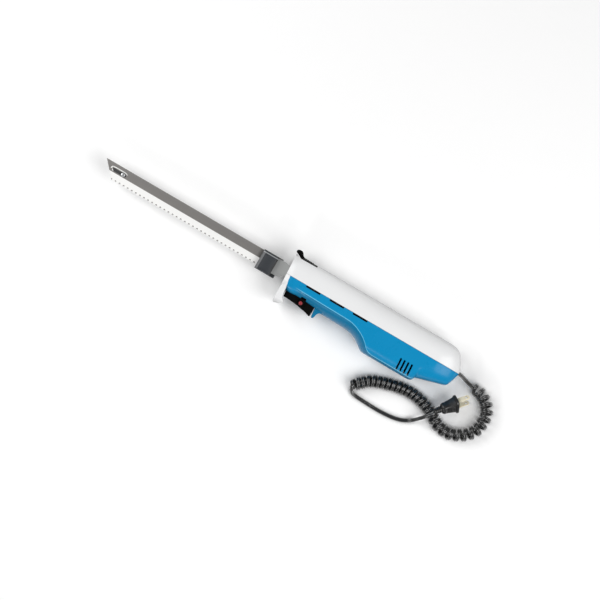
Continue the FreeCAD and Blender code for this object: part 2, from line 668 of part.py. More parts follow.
def brush_springs():
    spring = coil_spring(1.7, 0.25, 4.2, 4)
    spring.rotate(V(0, 0, 0), V(1, 0, 0), 90)
    spring = shifted(spring, 184.1, MOTOR_Y, 14.3)
    return [spring, flip(spring)]


# ---- wiring, cord and plug --------------------------------------------------------------------
def tube(points, r):
    """A round wire swept along a smooth curve."""
    curve = Part.BSplineCurve()
    curve.interpolate([V(*p) for p in points])
    path = Part.Wire(curve.toShape())
    ring = Part.Wire(Part.Circle(V(*points[0]), curve.tangent(curve.FirstParameter)[0], r).toShape())
    return path.makePipeShell([ring], True, False)


def lead_wires():
    wires = []
    for s in (-1, 1):
        wires.append(tube([(237, -1.6, s * 1.6), (224, 6, s * 4), (206, 16.5, s * 5.5), (170, 19.6, s * 5.5),
                           (110, 20.4, s * 5.2), (76, 20.4, s * 5.2), (58, 17, s * 9.6), (53.5, 4, s * 12),
                           (52.5, -6, s * 9), (49.5, -10.6, s * 3.6)], 0.7))
    return wires


CORD_PATH = [(237.5, -1.6, 0), (247, -2.2, -0.6), (256, -4, -3.4), (266, -7, -9), (275, -8.5, -13.5),
             (286, -11, -15.2), (296, -17, -15.5), (303, -26, -15.5), (305.8, -39, -15.5),
             (303, -54, -15.5), (295, -64, -15.5), (283, -71.5, -15.5), (270, -74, -15.5),
             (254, -69.5, -15.5), (240, -61, -15.5), (224, -55.3, -15.5), (206, -53.3, -15.5),
             (186, -56.5, -15.5), (168, -61.8, -15.5), (156, -67.5, -15.5), (147.5, -75, -15.5),
             (141.5, -82.5, -16.5), (144, -89.4, -20), (156, -92.6, -22.2), (180, -93.6, -22.4),
             (204, -92.2, -22.4), (217, -89, -22.2), (226, -84, -20.5), (233, -77.3, -13.5),
             (238.5, -70.8, -6.8), (242.6, -64.6, -3.9), (246.4, -57.8, -4.9)]
COIL_START, COIL_END = 0.092, 0.682     # as shares of the length of the cord path
PITCH_OPEN, PITCH_TIGHT = 8.8, 6.5


def cord_section(count=12):
    """Offsets across the flat twin-lead cord: (across the width, across the thickness)."""
    points = []
    for i in range(count):
        a = 2 * math.pi * (i / count + 0.25)
        c, s = math.cos(a), math.sin(a)
        points.append((math.copysign(abs(c) ** 0.8, c) * CORD_W / 2, math.copysign(abs(s) ** 0.8, s) * CORD_T / 2))
    return points + points[:1]


def smooth(t):
    t = max(0.0, min(1.0, t))
    return t * t * (3 - 2 * t)


def cord_stations():
    """Centre, radial and width directions along the cord: straight lead, coil, straight tail."""
    curve = Part.BSplineCurve()
    curve.interpolate([V(*p) for p in CORD_PATH])
    total = curve.length()
    spots, along, phi = [], 0.0, math.pi / 2
    while along <= total:
        share = along / total
        on = COIL_START < share < COIL_END
        tight = smooth((share - 0.36) / 0.16)
        pitch = PITCH_OPEN + (PITCH_TIGHT - PITCH_OPEN) * tight
        t = curve.parameterAtDistance(along, curve.FirstParameter)
        centre, axis = curve.value(t), curve.tangent(t)[0]
        side = axis.cross(V(0, 0, 1)).normalize()
        up = side.cross(axis)
        ramp = min((share - COIL_START) / 0.012, (COIL_END - share) / 0.012)
        r = COIL_R * smooth(ramp)
        out = side * math.cos(phi) + up * math.sin(phi)
        spots.append((centre + out * r, out))
        step = pitch / 14 if on else 2.2
        phi += 2 * math.pi / 14 if on else 0.0
        along += step
    return spots


def power_cord():
    spots = cord_stations()
    grid = []
    for i, (at, out) in enumerate(spots):
        ahead = spots[min(i + 1, len(spots) - 1)][0] - spots[max(i - 1, 0)][0]
        wide = ahead.cross(out).normalize()
        thick = wide.cross(ahead).normalize()
        grid.append([at + wide * w + thick * t for w, t in cord_section()])
    surface = Part.BSplineSurface()
    surface.interpolate(grid)
    surface.setVPeriodic()
    skin = surface.toShape()
    caps = [Part.Face(Part.Wire(e)) for e in skin.Edges if e.isClosed() and e.Length < 20]
    cord = Part.Solid(Part.Shell([skin] + caps))
    cord.fix(1e-4, 1e-5, 1e-3)
    return cord


def strain_relief():
    """Short rubber collar around the cord where it leaves the handle."""
    return rod_x(3.6, 240, 248.2, -1.6).cut(power_cord())


def place_plug(shape):
    """Move a shape built along +X at the origin to where the plug lies."""
    shape = shape.copy()
    shape.rotate(V(0, 0, 0), V(1, 0, 0), PLUG_ROLL)
    turn = FreeCAD.Rotation(V(1, 0, 0), PLUG_DIR)
    shape.Placement = FreeCAD.Placement(PLUG_AT, turn).multiply(shape.Placement)
    return shape


def rounded_rect(x, wide, tall, r):
    """Closed rounded rectangle across the plug axis: wide along Y, tall along Z."""
    w, h = wide / 2 - r, tall / 2 - r
    k = r * math.sqrt(0.5)
    edges = []
    corners = [(w, h, 1, 1), (-w, h, -1, 1), (-w, -h, -1, -1), (w, -h, 1, -1)]
    for i, (cy, cz, sy, sz) in enumerate(corners):
        first, last = V(x, cy + sy * r, cz), V(x, cy, cz + sz * r)
        if i % 2:
            first, last = last, first
        edges.append(Part.Arc(first, V(x, cy + sy * k, cz + sz * k), last).toShape())
        ncy, ncz, nsy, nsz = corners[(i + 1) % 4]
        nxt = V(x, ncy, ncz + nsz * r) if i % 2 == 0 else V(x, ncy + nsy * r, ncz)
        edges.append(Part.LineSegment(last, nxt).toShape())
    return Part.Wire(edges)


def plug_body():
    body = Part.makeLoft([rounded_rect(-21, 11.2, 9.4, 3.2), rounded_rect(-15, 13.6, 11.4, 3.8),
                          rounded_rect(-8, 17.6, 12.6, 4.2), rounded_rect(-2.6, 21.4, 13.8, 4.6)],
                         True, False)
    flange = Part.Face(rounded_rect(-2.6, 25.0, 16.0, 5.0)).extrude(V(2.6, 0, 0))
    neck = Part.makeCone(2.9, 4.2, 10.5, V(-31, 0, 0), V(1, 0, 0))
    rings = [Part.makeCylinder(r, 1.3, V(x, 0, 0), V(1, 0, 0)) for x, r in
             ((-30, 3.6), (-27.4, 3.95), (-24.8, 4.3), (-22.2, 4.6))]
    body = union([body, flange, neck] + rings)
    blades = [box(-12, 1, s * PRONG_PITCH / 2 - PRONG_T / 2, s * PRONG_PITCH / 2 + PRONG_T / 2,
                  -PRONG_W / 2, PRONG_W / 2) for s in (-1, 1)]
    return place_plug(body.cut(blades)).cut(power_cord_core())


def power_cord_core():
    """The short end of the cord that is moulded into the plug."""
    return power_cord().common(box(236, 256, -70, -48, -12, 4))


def plug_prongs():
    prongs = []
    for s in (-1, 1):
        y = s * PRONG_PITCH / 2
        prong = box(-12, PRONG_L, y - PRONG_T / 2, y + PRONG_T / 2, -PRONG_W / 2, PRONG_W / 2)
        tip = Part.makePolygon([V(PRONG_L - 1.6, y - 2, 3.3), V(PRONG_L, y - 2, 1.7), V(PRONG_L, y - 2, 3.3),
                                V(PRONG_L - 1.6, y - 2, 3.3)])
        corner = Part.Face(tip).extrude(V(0, 4, 0))
        other = corner.mirror(V(0, 0, 0), V(0, 0, 1))
        hole = Part.makeCylinder(1.5, 6, V(PRONG_L - 4.2, y - 3, 0), V(0, 1, 0))
        prongs.append(place_plug(prong.cut([corner, other, hole])))
    return prongs


# ---- write every node -------------------------------------------------------------------------
def main():
    os.makedirs("parts", exist_ok=True)
    outside, cavity = handle_outside(), handle_cavity()
    print("handle", outside.isValid(), cavity.isValid())
    save("upper_shell", upper_shell(outside, cavity))
    save("lower_shell", lower_shell(outside, cavity))
    save("shell_screws", shell_screws())
    for make in (trigger, trigger_pin, trigger_spring, lock_button, switch_body, switch_plunger,
                 blade_release, release_pin, release_spring, blade_guide, right_blade, tip_rivet,
                 left_guard, left_driver, left_catch, worm_wheel, gear_axle, gear_frame, frame_screws,
                 armature_shaft, armature_core, armature_windings, commutator, fan, front_bearing,
                 rear_bearing, field_stack, field_coils, end_bracket, motor_screws, brush_holders,
                 brushes, brush_springs, lead_wires, power_cord, strain_relief, plug_body, plug_prongs):
        save(make.__name__, make())
    save("left_blade", left_blade_slotted())
    save("right_guard", shifted(flip(left_guard()), STROKE))
    save("right_driver", shifted(flip(left_driver()), STROKE))
    save("right_catch", shifted(flip(left_catch()), STROKE))


main()
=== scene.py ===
"""Electric fillet knife: visible skins, blades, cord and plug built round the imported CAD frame."""
import json
import math

import bmesh
import bpy
import numpy as np
from mathutils import Matrix, Vector


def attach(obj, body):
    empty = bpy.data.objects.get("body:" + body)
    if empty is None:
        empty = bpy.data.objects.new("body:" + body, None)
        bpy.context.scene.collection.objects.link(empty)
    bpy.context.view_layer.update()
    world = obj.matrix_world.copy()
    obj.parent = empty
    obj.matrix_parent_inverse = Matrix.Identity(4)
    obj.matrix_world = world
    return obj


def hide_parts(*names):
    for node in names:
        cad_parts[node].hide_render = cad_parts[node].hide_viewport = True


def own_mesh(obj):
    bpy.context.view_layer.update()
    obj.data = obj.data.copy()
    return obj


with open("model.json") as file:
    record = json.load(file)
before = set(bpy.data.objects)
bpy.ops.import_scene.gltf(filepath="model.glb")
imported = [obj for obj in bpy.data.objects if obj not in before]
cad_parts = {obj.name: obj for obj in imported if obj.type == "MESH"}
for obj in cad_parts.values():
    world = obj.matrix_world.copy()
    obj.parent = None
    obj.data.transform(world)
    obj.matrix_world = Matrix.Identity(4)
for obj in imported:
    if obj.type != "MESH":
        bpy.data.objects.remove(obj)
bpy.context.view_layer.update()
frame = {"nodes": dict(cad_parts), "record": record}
MM = 0.001

# Sizes in millimetres, in the frame of the CAD: +X to the rear, +Y to the spine, +Z to the left flank.
SPLIT, WALL, LAND = -2.9, 2.4, 24.0              # seam height, shell wall, half depth where flanks are flat
# Vents along the seam: X from, X to, depth where the cut starts, depth where the inner shelf is rooted.
SEAM_VENTS = ((28, 48, 14, 16), (62, 82, 16.5, 18.5), (95, 115.6, 16.5, 20.4))
SPINE, EDGE, PITCH, TIP = 8.5, -12.7, 5.9, -268.0
FIRST_TOOTH = TIP + 19.0
SLOT_Y = 0.4                                     # height of the tip slot and of the rivet in it
CORD_EXIT = -1.6                                 # height of the cord where it leaves the handle
LOCK_AXIS = (32.5, -26.2)                        # X and Y of the lock bolt
STROKE = 6.0                                     # the right blade is this much further back at rest


# ---------------------------------------------------------------- mesh helpers
def new_object(name, verts, faces, sharp=32):
    """Mesh object from vertices in millimetres."""
    me = bpy.data.meshes.new(name)
    me.from_pydata([tuple(c * MM for c in v) for v in verts], [], faces)
    me.update()
    bm = bmesh.new()
    bm.from_mesh(me)
    bmesh.ops.recalc_face_normals(bm, faces=bm.faces)
    bm.to_mesh(me)
    bm.free()
    ob = bpy.data.objects.new(name, me)
    bpy.context.scene.collection.objects.link(ob)
    shade(ob, sharp)
    return ob


def shade(ob, sharp=32):
    """Smooth shading that breaks at edges sharper than an angle in degrees."""
    ob.data.shade_smooth()
    ob.data.set_sharp_from_angle(angle=math.radians(sharp))


def skin(name, rows, sharp=32):
    """Closed tube through equal closed sections, capped at both ends."""
    n, m = len(rows), len(rows[0])
    verts = [p for row in rows for p in row]
    faces = [(i * m + j, i * m + (j + 1) % m, (i + 1) * m + (j + 1) % m, (i + 1) * m + j)
             for i in range(n - 1) for j in range(m)]
    faces += [tuple(range(m)), tuple(range((n - 1) * m, n * m))]
    return new_object(name, verts, faces, sharp)


def bake(ob, sharp=32):
    """Apply every modifier of an object."""
    bpy.context.view_layer.update()
    dg = bpy.context.evaluated_depsgraph_get()
    me = bpy.data.meshes.new_from_object(ob.evaluated_get(dg))
    ob.modifiers.clear()
    ob.data = me
    shade(ob, sharp)
    return ob


def round_edges(ob, width, segments=3, angle=30, sharp=32):
    """Round every edge sharper than an angle, by a width in millimetres."""
    m = ob.modifiers.new("round", "BEVEL")
    m.width, m.segments, m.limit_method = width * MM, segments, "ANGLE"
    m.angle_limit = math.radians(angle)
    m.use_clamp_overlap = True
    return bake(ob, sharp)


def plate(name, points, z0, z1, width=0.0, sharp=32):
    """Flat outline in X and Y between two heights, with rounded edges."""
    n = len(points)
    verts = [(x, y, z0) for x, y in points] + [(x, y, z1) for x, y in points]
    faces = [tuple(range(n))[::-1], tuple(range(n, 2 * n))]
    faces += [(i, (i + 1) % n, n + (i + 1) % n, n + i) for i in range(n)]
    ob = new_object(name, verts, faces, sharp)
    return round_edges(ob, width, sharp=sharp) if width else ob


def block(name, x0, x1, y0, y1, z0, z1, width=0.0):
    """Box between two corners, with rounded edges."""
    return plate(name, [(x0, y0), (x1, y0), (x1, y1), (x0, y1)], z0, z1, width)


def lathe(name, profile, place=Matrix.Identity(4), count=40, sharp=32):
    """Turn (along, radius) pairs about the local Z axis; the ends close on the axis."""
    rows = []
    for z, r in profile:
        wide = max(r, 0.001)
        turns = [2 * math.pi * k / count for k in range(count)]
        rows.append([tuple(place @ Vector((wide * math.cos(a), wide * math.sin(a), z))) for a in turns])
    return skin(name, rows, sharp)


def aim(at, axis, roll=0.0):
    """Matrix that puts local Z along an axis at a point, in millimetres."""
    turn = Vector(axis).to_track_quat("Z", "Y").to_matrix().to_4x4()
    return Matrix.Translation(Vector(at)) @ turn @ Matrix.Rotation(roll, 4, "Z")


def combine(ob, other, how, sharp=32):
    """Boolean an object with another, which is used up."""
    m = ob.modifiers.new("boolean", "BOOLEAN")
    m.operation, m.object, m.solver = how, other, "MANIFOLD"
    bake(ob, sharp)
    bpy.data.objects.remove(other)
    return ob


def join(name, parts, sharp=32):
    """Merge separate solids of one piece into one object."""
    bm = bmesh.new()
    for p in parts:
        me = p.data.copy()
        me.transform(p.matrix_world)
        bm.from_mesh(me)
        bpy.data.objects.remove(p)
    me = bpy.data.meshes.new(name)
    bm.to_mesh(me)
    bm.free()
    ob = bpy.data.objects.new(name, me)
    bpy.context.scene.collection.objects.link(ob)
    shade(ob, sharp)
    return ob


def mirrored(ob, name, shift=0.0):
    """Copy of a piece on the other side of the blade plane."""
    me = ob.data.copy()
    me.transform(Matrix.Diagonal((1, 1, -1, 1)))
    me.flip_normals()
    me.transform(Matrix.Translation((shift * MM, 0, 0)))
    out = bpy.data.objects.new(name, me)
    bpy.context.scene.collection.objects.link(out)
    return out


def curve_through(points):
    """Monotone cubic through (x, y) points, without overshoot."""
    xs, ys = np.array(points, float).T
    h, d = np.diff(xs), np.diff(ys) / np.diff(xs)
    m = np.zeros(len(xs))
    m[0], m[-1] = d[0], d[-1]
    for i in range(1, len(xs) - 1):
        if d[i - 1] * d[i] > 0:
            w1, w2 = 2 * h[i] + h[i - 1], h[i] + 2 * h[i - 1]
            m[i] = (w1 + w2) / (w1 / d[i - 1] + w2 / d[i])

    def height_at(x):
        i = int(np.clip(np.searchsorted(xs, x) - 1, 0, len(xs) - 2))
        t = min(max((x - xs[i]) / h[i], 0), 1)
        return float((2 * t ** 3 - 3 * t ** 2 + 1) * ys[i] + (t ** 3 - 2 * t ** 2 + t) * h[i] * m[i]
                     + (-2 * t ** 3 + 3 * t ** 2) * ys[i + 1] + (t ** 3 - t ** 2) * h[i] * m[i + 1])
    return height_at


def smooth(t):
    """Soft step from 0 to 1."""
    t = max(0.0, min(1.0, t))
    return t * t * (3 - 2 * t)


# ---------------------------------------------------------------- materials
def material(name, colour, rough, metal=0.0, coat=0.0, **look):
    """Principled material with procedural grain, mottling and painted shade in crevices. Sizes are in
    millimetres.

    look: grain (size), bump (strength), stretch (of the grain, per axis), patch (size) and mottle (share)
    of the colour, vary and streaky (roughness), crevice (reach) and deep (power) of the painted shade in
    crevices, rim (how much darker the painted shade makes the surface as it turns away), edge (radius of
    rounded edges), spec (specular level), gloss (index of the coat).
    """
    mat = bpy.data.materials.new(name)
    mat.use_nodes = True
    nt = mat.node_tree
    bsdf = nt.nodes["Principled BSDF"]
    link, node = nt.links.new, nt.nodes.new
    coord, mapping = node("ShaderNodeTexCoord"), node("ShaderNodeMapping")
    link(coord.outputs["Object"], mapping.inputs["Vector"])
    mapping.inputs["Scale"].default_value = look.get("stretch", (1, 1, 1))
    fine = node("ShaderNodeTexNoise")
    fine.inputs["Scale"].default_value = 1000 / look.get("grain", 0.5)
    fine.inputs["Detail"].default_value = 3
    link(mapping.outputs["Vector"], fine.inputs["Vector"])
    broad = node("ShaderNodeTexNoise")
    broad.inputs["Scale"].default_value = 1000 / look.get("patch", 18)
    broad.inputs["Detail"].default_value = 4
    link(coord.outputs["Object"], broad.inputs["Vector"])
    ramp = node("ShaderNodeMixRGB")
    ramp.blend_type = "MIX"
    dark = look.get("mottle", 0.05)                          # share by which patches are darker and lighter
    ramp.inputs["Color1"].default_value = [c * (1 - dark) for c in colour] + [1]
    ramp.inputs["Color2"].default_value = [min(1, c * (1 + dark)) for c in colour] + [1]
    link(broad.outputs["Fac"], ramp.inputs["Fac"])
    # Painted shade: ambient occlusion multiplies the base colour, so crevices and recesses come out darker.
    shade_in = node("ShaderNodeAmbientOcclusion")
    shade_in.samples = 4
    shade_in.inputs["Distance"].default_value = look.get("crevice", 6) * MM
    depth = node("ShaderNodeMath")
    depth.operation = "POWER"
    link(shade_in.outputs["AO"], depth.inputs[0])
    depth.inputs[1].default_value = look.get("deep", 1.2)
    painted_shade = node("ShaderNodeMixRGB")
    painted_shade.blend_type = "MULTIPLY"
    painted_shade.inputs["Fac"].default_value = 1.0
    link(ramp.outputs["Color"], painted_shade.inputs["Color1"])
    link(depth.outputs[0], painted_shade.inputs["Color2"])
    # Painted shade: the base colour darkens towards the outline as the surface turns away from the camera.
    facing = node("ShaderNodeLayerWeight")
    curve = node("ShaderNodeMath")
    rim = node("ShaderNodeMixRGB")
    facing.inputs["Blend"].default_value = 0.5
    curve.operation = "POWER"
    link(facing.outputs["Facing"], curve.inputs[0])
    curve.inputs[1].default_value = 2.5                      # keeps the darkening close to the outline
    link(curve.outputs[0], rim.inputs["Fac"])
    link(painted_shade.outputs["Color"], rim.inputs["Color1"])
    darker = node("ShaderNodeMixRGB")
    darker.blend_type = "MULTIPLY"
    darker.inputs["Fac"].default_value = 1.0
    link(painted_shade.outputs["Color"], darker.inputs["Color1"])
    darker.inputs["Color2"].default_value = [1 - look.get("rim", 0)] * 3 + [1]
    link(darker.outputs["Color"], rim.inputs["Color2"])
    link(rim.outputs["Color"], bsdf.inputs["Base Color"])
    span = node("ShaderNodeMapRange")
    vary = look.get("vary", 0.06)
    span.inputs["To Min"].default_value = max(0.02, rough - vary)
    span.inputs["To Max"].default_value = min(1, rough + vary)
    link((fine if look.get("streaky") else broad).outputs["Fac"], span.inputs["Value"])
    link(span.outputs["Result"], bsdf.inputs["Roughness"])
    bump = node("ShaderNodeBump")
    bump.inputs["Strength"].default_value = look.get("bump", 0.05)
    bump.inputs["Distance"].default_value = 0.3 * MM
    link(fine.outputs["Fac"], bump.inputs["Height"])
    if look.get("edge"):
        edge = node("ShaderNodeBevel")
        edge.samples = 4
        edge.inputs["Radius"].default_value = look["edge"] * MM
        link(edge.outputs["Normal"], bump.inputs["Normal"])
    link(bump.outputs["Normal"], bsdf.inputs["Normal"])
    bsdf.inputs["Metallic"].default_value = metal
    bsdf.inputs["Specular IOR Level"].default_value = look.get("spec", 0.5)
    bsdf.inputs["Coat Weight"].default_value = coat
    bsdf.inputs["Coat Roughness"].default_value = 0.12
    bsdf.inputs["Coat IOR"].default_value = look.get("gloss", 1.5)
    return mat


def mix_in(mat, socket, mask, value):
    """Blend one input of a material towards a value, by the share that a mask gives."""
    nt = mat.node_tree
    target = nt.nodes["Principled BSDF"].inputs[socket]
    mix = nt.nodes.new("ShaderNodeMix")
    coloured = socket == "Base Color"
    mix.data_type = "RGBA" if coloured else "FLOAT"
    first, second, result = (6, 7, 2) if coloured else (2, 3, 0)        # sockets of this node by data type
    nt.links.new(mask, mix.inputs[0])
    if target.links:
        nt.links.new(target.links[0].from_socket, mix.inputs[first])
    else:
        mix.inputs[first].default_value = target.default_value
    mix.inputs[second].default_value = value
    nt.links.new(mix.outputs[result], target)


def paint_zone(mat, zone, colour, rough, metal):
    """Colour, roughness and metal for a zone of object space that passes every test: (axis, from mm, to mm);
    used for second finishes and for painted light and shade.
    """
    nt = mat.node_tree
    node, link = nt.nodes.new, nt.links.new
    coord = next(n for n in nt.nodes if n.bl_idname == "ShaderNodeTexCoord")
    split = node("ShaderNodeSeparateXYZ")
    link(coord.outputs["Object"], split.inputs[0])
    mask = None
    for axis, start, end in zone:
        step = node("ShaderNodeMapRange")
        step.inputs["From Min"].default_value = start * MM
        step.inputs["From Max"].default_value = end * MM
        link(split.outputs[axis], step.inputs["Value"])
        if mask:
            both = node("ShaderNodeMath")
            both.operation = "MULTIPLY"
            link(mask, both.inputs[0])
            link(step.outputs["Result"], both.inputs[1])
            mask = both.outputs[0]
        else:
            mask = step.outputs["Result"]
    mix_in(mat, "Base Color", mask, list(colour) + [1])
    mix_in(mat, "Roughness", mask, rough)
    mix_in(mat, "Metallic", mask, metal)


# WHITE and BLUE get a strong painted shade along their outline (rim); BLUE also gets a wider painted crevice
# shade.
WHITE = material("white_abs", (0.80, 0.805, 0.81), 0.34, coat=0.12, rim=0.6, grain=0.9, bump=0.04,
                 mottle=0.012, edge=0.35)
BLUE = material("blue_abs", (0.0, 0.245, 0.500), 0.28, coat=0.1, rim=0.6, spec=0.2, crevice=12, deep=1.6,
                grain=0.9, bump=0.04, mottle=0.05, edge=0.35)
# Painted shade: the blue shelves behind the seam vents are coloured near black, so the vents read dark.
for start, end, depth in ((26, 50, 13.1), (60, 118, 15.6)):      # dark shelves behind the seam vents
    paint_zone(BLUE, [(0, start, start + 0.2), (0, end, end - 0.2), (1, -9.2, -9.0), (2, depth, depth - 0.2),
                  (2, -depth, 0.2 - depth)], (0.002, 0.002, 0.002), 0.7, 0)
BLACK = material("black_plastic", (0.003, 0.003, 0.003), 0.34, spec=0.05, grain=0.35, bump=0.12, mottle=0.2,
                 edge=0.2)
CHARCOAL = material("charcoal_plastic", (0.034, 0.038, 0.044), 0.30, grain=0.4, bump=0.15, mottle=0.12,
                    edge=0.2)
# Painted shade: a dark line along the rear edge of the guards.
REAR_EDGE_SHADE = [(0, -20.6, -20.3), (0, -18.6, -18.7), (2, 1.5, 2)]
paint_zone(CHARCOAL, REAR_EDGE_SHADE, (0.006, 0.006, 0.007), 0.4, 0)
# Painted highlight: a light line along the spine-side ridge of the guards.
RIDGE_HIGHLIGHT = [(1, 6.3, 6.6), (1, 7.6, 7.3), (2, 5.8, 6.2)]
paint_zone(CHARCOAL, RIDGE_HIGHLIGHT, (0.36, 0.37, 0.38), 0.3, 0)
RED = material("red_plastic", (0.30, 0.014, 0.024), 0.3, grain=0.5, bump=0.05, mottle=0.08, edge=0.2)
NYLON = material("natural_nylon", (0.72, 0.69, 0.60), 0.45, grain=0.5, bump=0.08, mottle=0.04, edge=0.15)
STEEL = material("zinc_steel", (0.50, 0.51, 0.52), 0.32, 1.0, grain=0.4, bump=0.1, mottle=0.1, edge=0.12)
SPRING = material("spring_steel", (0.42, 0.43, 0.45), 0.3, 1.0, grain=0.3, bump=0.1, mottle=0.1)
GROUND = material("ground_steel", (0.46, 0.46, 0.47), 0.25, 1.0, grain=0.3, stretch=(4, 1, 1), bump=0.12,
                  streaky=True)
CAST = material("cast_frame", (0.48, 0.49, 0.50), 0.5, 1.0, grain=0.8, bump=0.3, mottle=0.12, edge=0.2)
LAMINATION = material("lamination", (0.16, 0.16, 0.17), 0.45, 0.9, grain=0.5, stretch=(40, 1, 1), bump=0.5,
                      mottle=0.2)
COPPER = material("copper", (0.55, 0.20, 0.08), 0.3, 0.85, grain=0.6, stretch=(0.2, 1, 1), bump=0.5,
                  mottle=0.2)
BRONZE = material("sintered_bronze", (0.38, 0.22, 0.09), 0.5, 0.9, grain=0.3, bump=0.3, mottle=0.2)
BRASS = material("brass", (0.95, 0.87, 0.66), 0.3, 0.25, grain=0.4, bump=0.05, mottle=0.06, edge=0.12)
CARBON = material("carbon", (0.03, 0.03, 0.03), 0.55, grain=0.3, bump=0.2, mottle=0.2)
SLEEVE = material("wire_sleeve", (0.03, 0.03, 0.03), 0.5, grain=0.5, bump=0.1, mottle=0.2)
VINYL = material("cord_vinyl", (0.004, 0.004, 0.004), 0.30, coat=0.85, gloss=1.75, grain=0.6, bump=0.04,
                 mottle=0.3)
PLUG = material("plug_vinyl", (0.010, 0.010, 0.010), 0.36, coat=0.35, grain=0.6, bump=0.10, mottle=0.25,
                edge=0.2)
RUBBER = material("black_rubber", (0.012, 0.012, 0.012), 0.6, grain=0.5, bump=0.2, mottle=0.2, edge=0.15)
BLADE = material("blade_steel", (0.232, 0.222, 0.213), 0.42, 0.55, grain=0.35, stretch=(0.02, 1, 1),
                 bump=0.25, mottle=0.08, streaky=True, vary=0.1)
SHANK = [(0, -19.1, -18.9)]
paint_zone(BLADE, SHANK, (0.52, 0.53, 0.525), 0.4, 0.55)
GROUND_BEVEL = [(0, -18.9, -19.1), (1, -2.8, -3.2)]
paint_zone(BLADE, GROUND_BEVEL, (0.93, 0.925, 0.91), 0.36, 0.15)
# Painted highlight on the top of the pressed lip along the tip slot.
SLOT_RIM_HIGHLIGHT = [(0, -230, -231), (2, 1.2, 1.25)]
paint_zone(BLADE, SLOT_RIM_HIGHLIGHT, (0.90, 0.90, 0.88), 0.25, 0.3)
# Painted shade on the inner face of the right blade where it shows through the tip slot.
SHADE_IN_SLOT = [(0, -229, -230), (2, 0.0, -0.03), (2, -0.4, -0.35)]
paint_zone(BLADE, SHADE_IN_SLOT, (0.05, 0.05, 0.05), 0.5, 0.3)


def gullet_shade(mat, start, pitch, level, radius, last, colour):
    """Painted shade round every tooth gullet: a dark disc, repeated along X as far as the last position."""
    nt = mat.node_tree

    def calc(op, a, b=None):
        n = nt.nodes.new("ShaderNodeMath")
        n.operation = op
        for i, v in enumerate((a, b)):
            if isinstance(v, (int, float)):
                n.inputs[i].default_value = v
            elif v is not None:
                nt.links.new(v, n.inputs[i])
        return n.outputs[0]

    def squared(value):
        return calc("POWER", calc("ABSOLUTE", value), 2.0)

    coord, split = nt.nodes.new("ShaderNodeTexCoord"), nt.nodes.new("ShaderNodeSeparateXYZ")
    nt.links.new(coord.outputs["Object"], split.inputs[0])
    shifted = calc("ADD", split.outputs[0], (pitch / 2 - start) * MM)
    turn = calc("FRACT", calc("DIVIDE", shifted, pitch * MM))
    dx = calc("MULTIPLY", calc("SUBTRACT", turn, 0.5), pitch / radius)
    dy = calc("DIVIDE", calc("SUBTRACT", split.outputs[1], level * MM), radius * MM)
    inside = calc("LESS_THAN", calc("ADD", squared(dx), squared(dy)), 1.0)
    inside = calc("MULTIPLY", inside, calc("LESS_THAN", split.outputs[0], last * MM))
    mix_in(mat, "Base Color", inside, list(colour) + [1])


GULLET = 4.75                                    # middle of a gullet, from the start of its tooth
# Painted shade: dark discs round the gullets just above the edge.
gullet_shade(BLADE, FIRST_TOOTH + GULLET, PITCH, level=-11.3, radius=1.05, last=-22.5,
             colour=(0.13, 0.12, 0.11))


def tint_by(mat, attribute, colour, share):
    """Blend the base colour of a material towards a colour where a vertex mask is set."""
    nt = mat.node_tree
    mask, scale = nt.nodes.new("ShaderNodeAttribute"), nt.nodes.new("ShaderNodeMath")
    mask.attribute_name = attribute
    scale.operation = "MULTIPLY"
    scale.inputs[1].default_value = share
    nt.links.new(mask.outputs["Fac"], scale.inputs[0])
    mix_in(mat, "Base Color", scale.outputs[0], list(colour) + [1])


# Painted shade on the band under the crease, and a painted highlight along the ledge of the crease.
tint_by(BLUE, "shade_band", (0.001, 0.150, 0.300), 0.9)
tint_by(BLUE, "ledge", (0.16, 0.56, 0.80), 0.85)


# ---------------------------------------------------------------- handle shells
# Outline of the handle along X: upper edge, lower edge, half depth, and the crease below the seam.
top_at = curve_through([(-3.6, 24.6), (3, 24.9), (12, 25), (30, 25), (215, 25), (221.5, 24.9), (226, 24.5),
                        (230, 23.6), (234, 21.6), (238, 18.0), (241, 13.8), (243.5, 9.2), (245.6, 4.8),
                        (247.0, 1.6), (247.8, -0.6)])
bottom_at = curve_through([(-3.6, -22.4), (3, -22.5), (12, -22.8), (30, -23.4), (57, -25), (80, -25.5),
                           (98, -26.2), (107, -28), (115, -31.6), (121, -36), (125, -39.0), (128, -40.5),
                           (132, -41), (190, -41), (196.5, -40.6), (199.5, -39.4), (201, -37.2),
                           (202.5, -35.2), (205, -34.0), (215, -31.1), (228, -27.4), (237.5, -24.6),
                           (240.2, -23.4), (242.2, -21.0), (244.4, -15.5), (246.4, -9.0), (247.8, -3.8)])
half_at = curve_through([(-3.6, 21.0), (-1, 20.4), (1.5, 19.2), (5, 17.8), (9, 17.2), (15, 17.1),
                         (30, 17.2), (57, 18.6), (80, 20.6), (98, 22.6), (107, 23.5), (115, 24.2),
                         (121, 24.6), (130, 24.8), (200, 24.8), (209, 24.4), (215, 24), (221.5, 23),
                         (228, 21.5), (234, 18.8), (238, 16.5), (241, 14.4), (243.5, 12), (245.6, 9.2),
                         (247, 6.6), (247.8, 4.6)])
crease_at = curve_through([(10, -12.0), (23, -12.3), (60, -13.2), (96, -14.0), (106, -16.2), (114, -19.6),
                           (121, -23.8), (127, -28.8), (131, -33.0), (136, -36.0), (142, -37.2),
                           (196, -37.2), (200, -36.0), (204, -33.5), (260, -33.0)])
SEAM_GROOVE, SEAM_REACH = 0.35, 0.3              # depth and half height of the groove along the seam
LEDGE, LEDGE_HEIGHT = 0.48, 0.8                  # step inwards at the crease, and the height it takes
LEAN, LEAN_HEIGHT = 3.0, 14                      # lean inwards below the crease


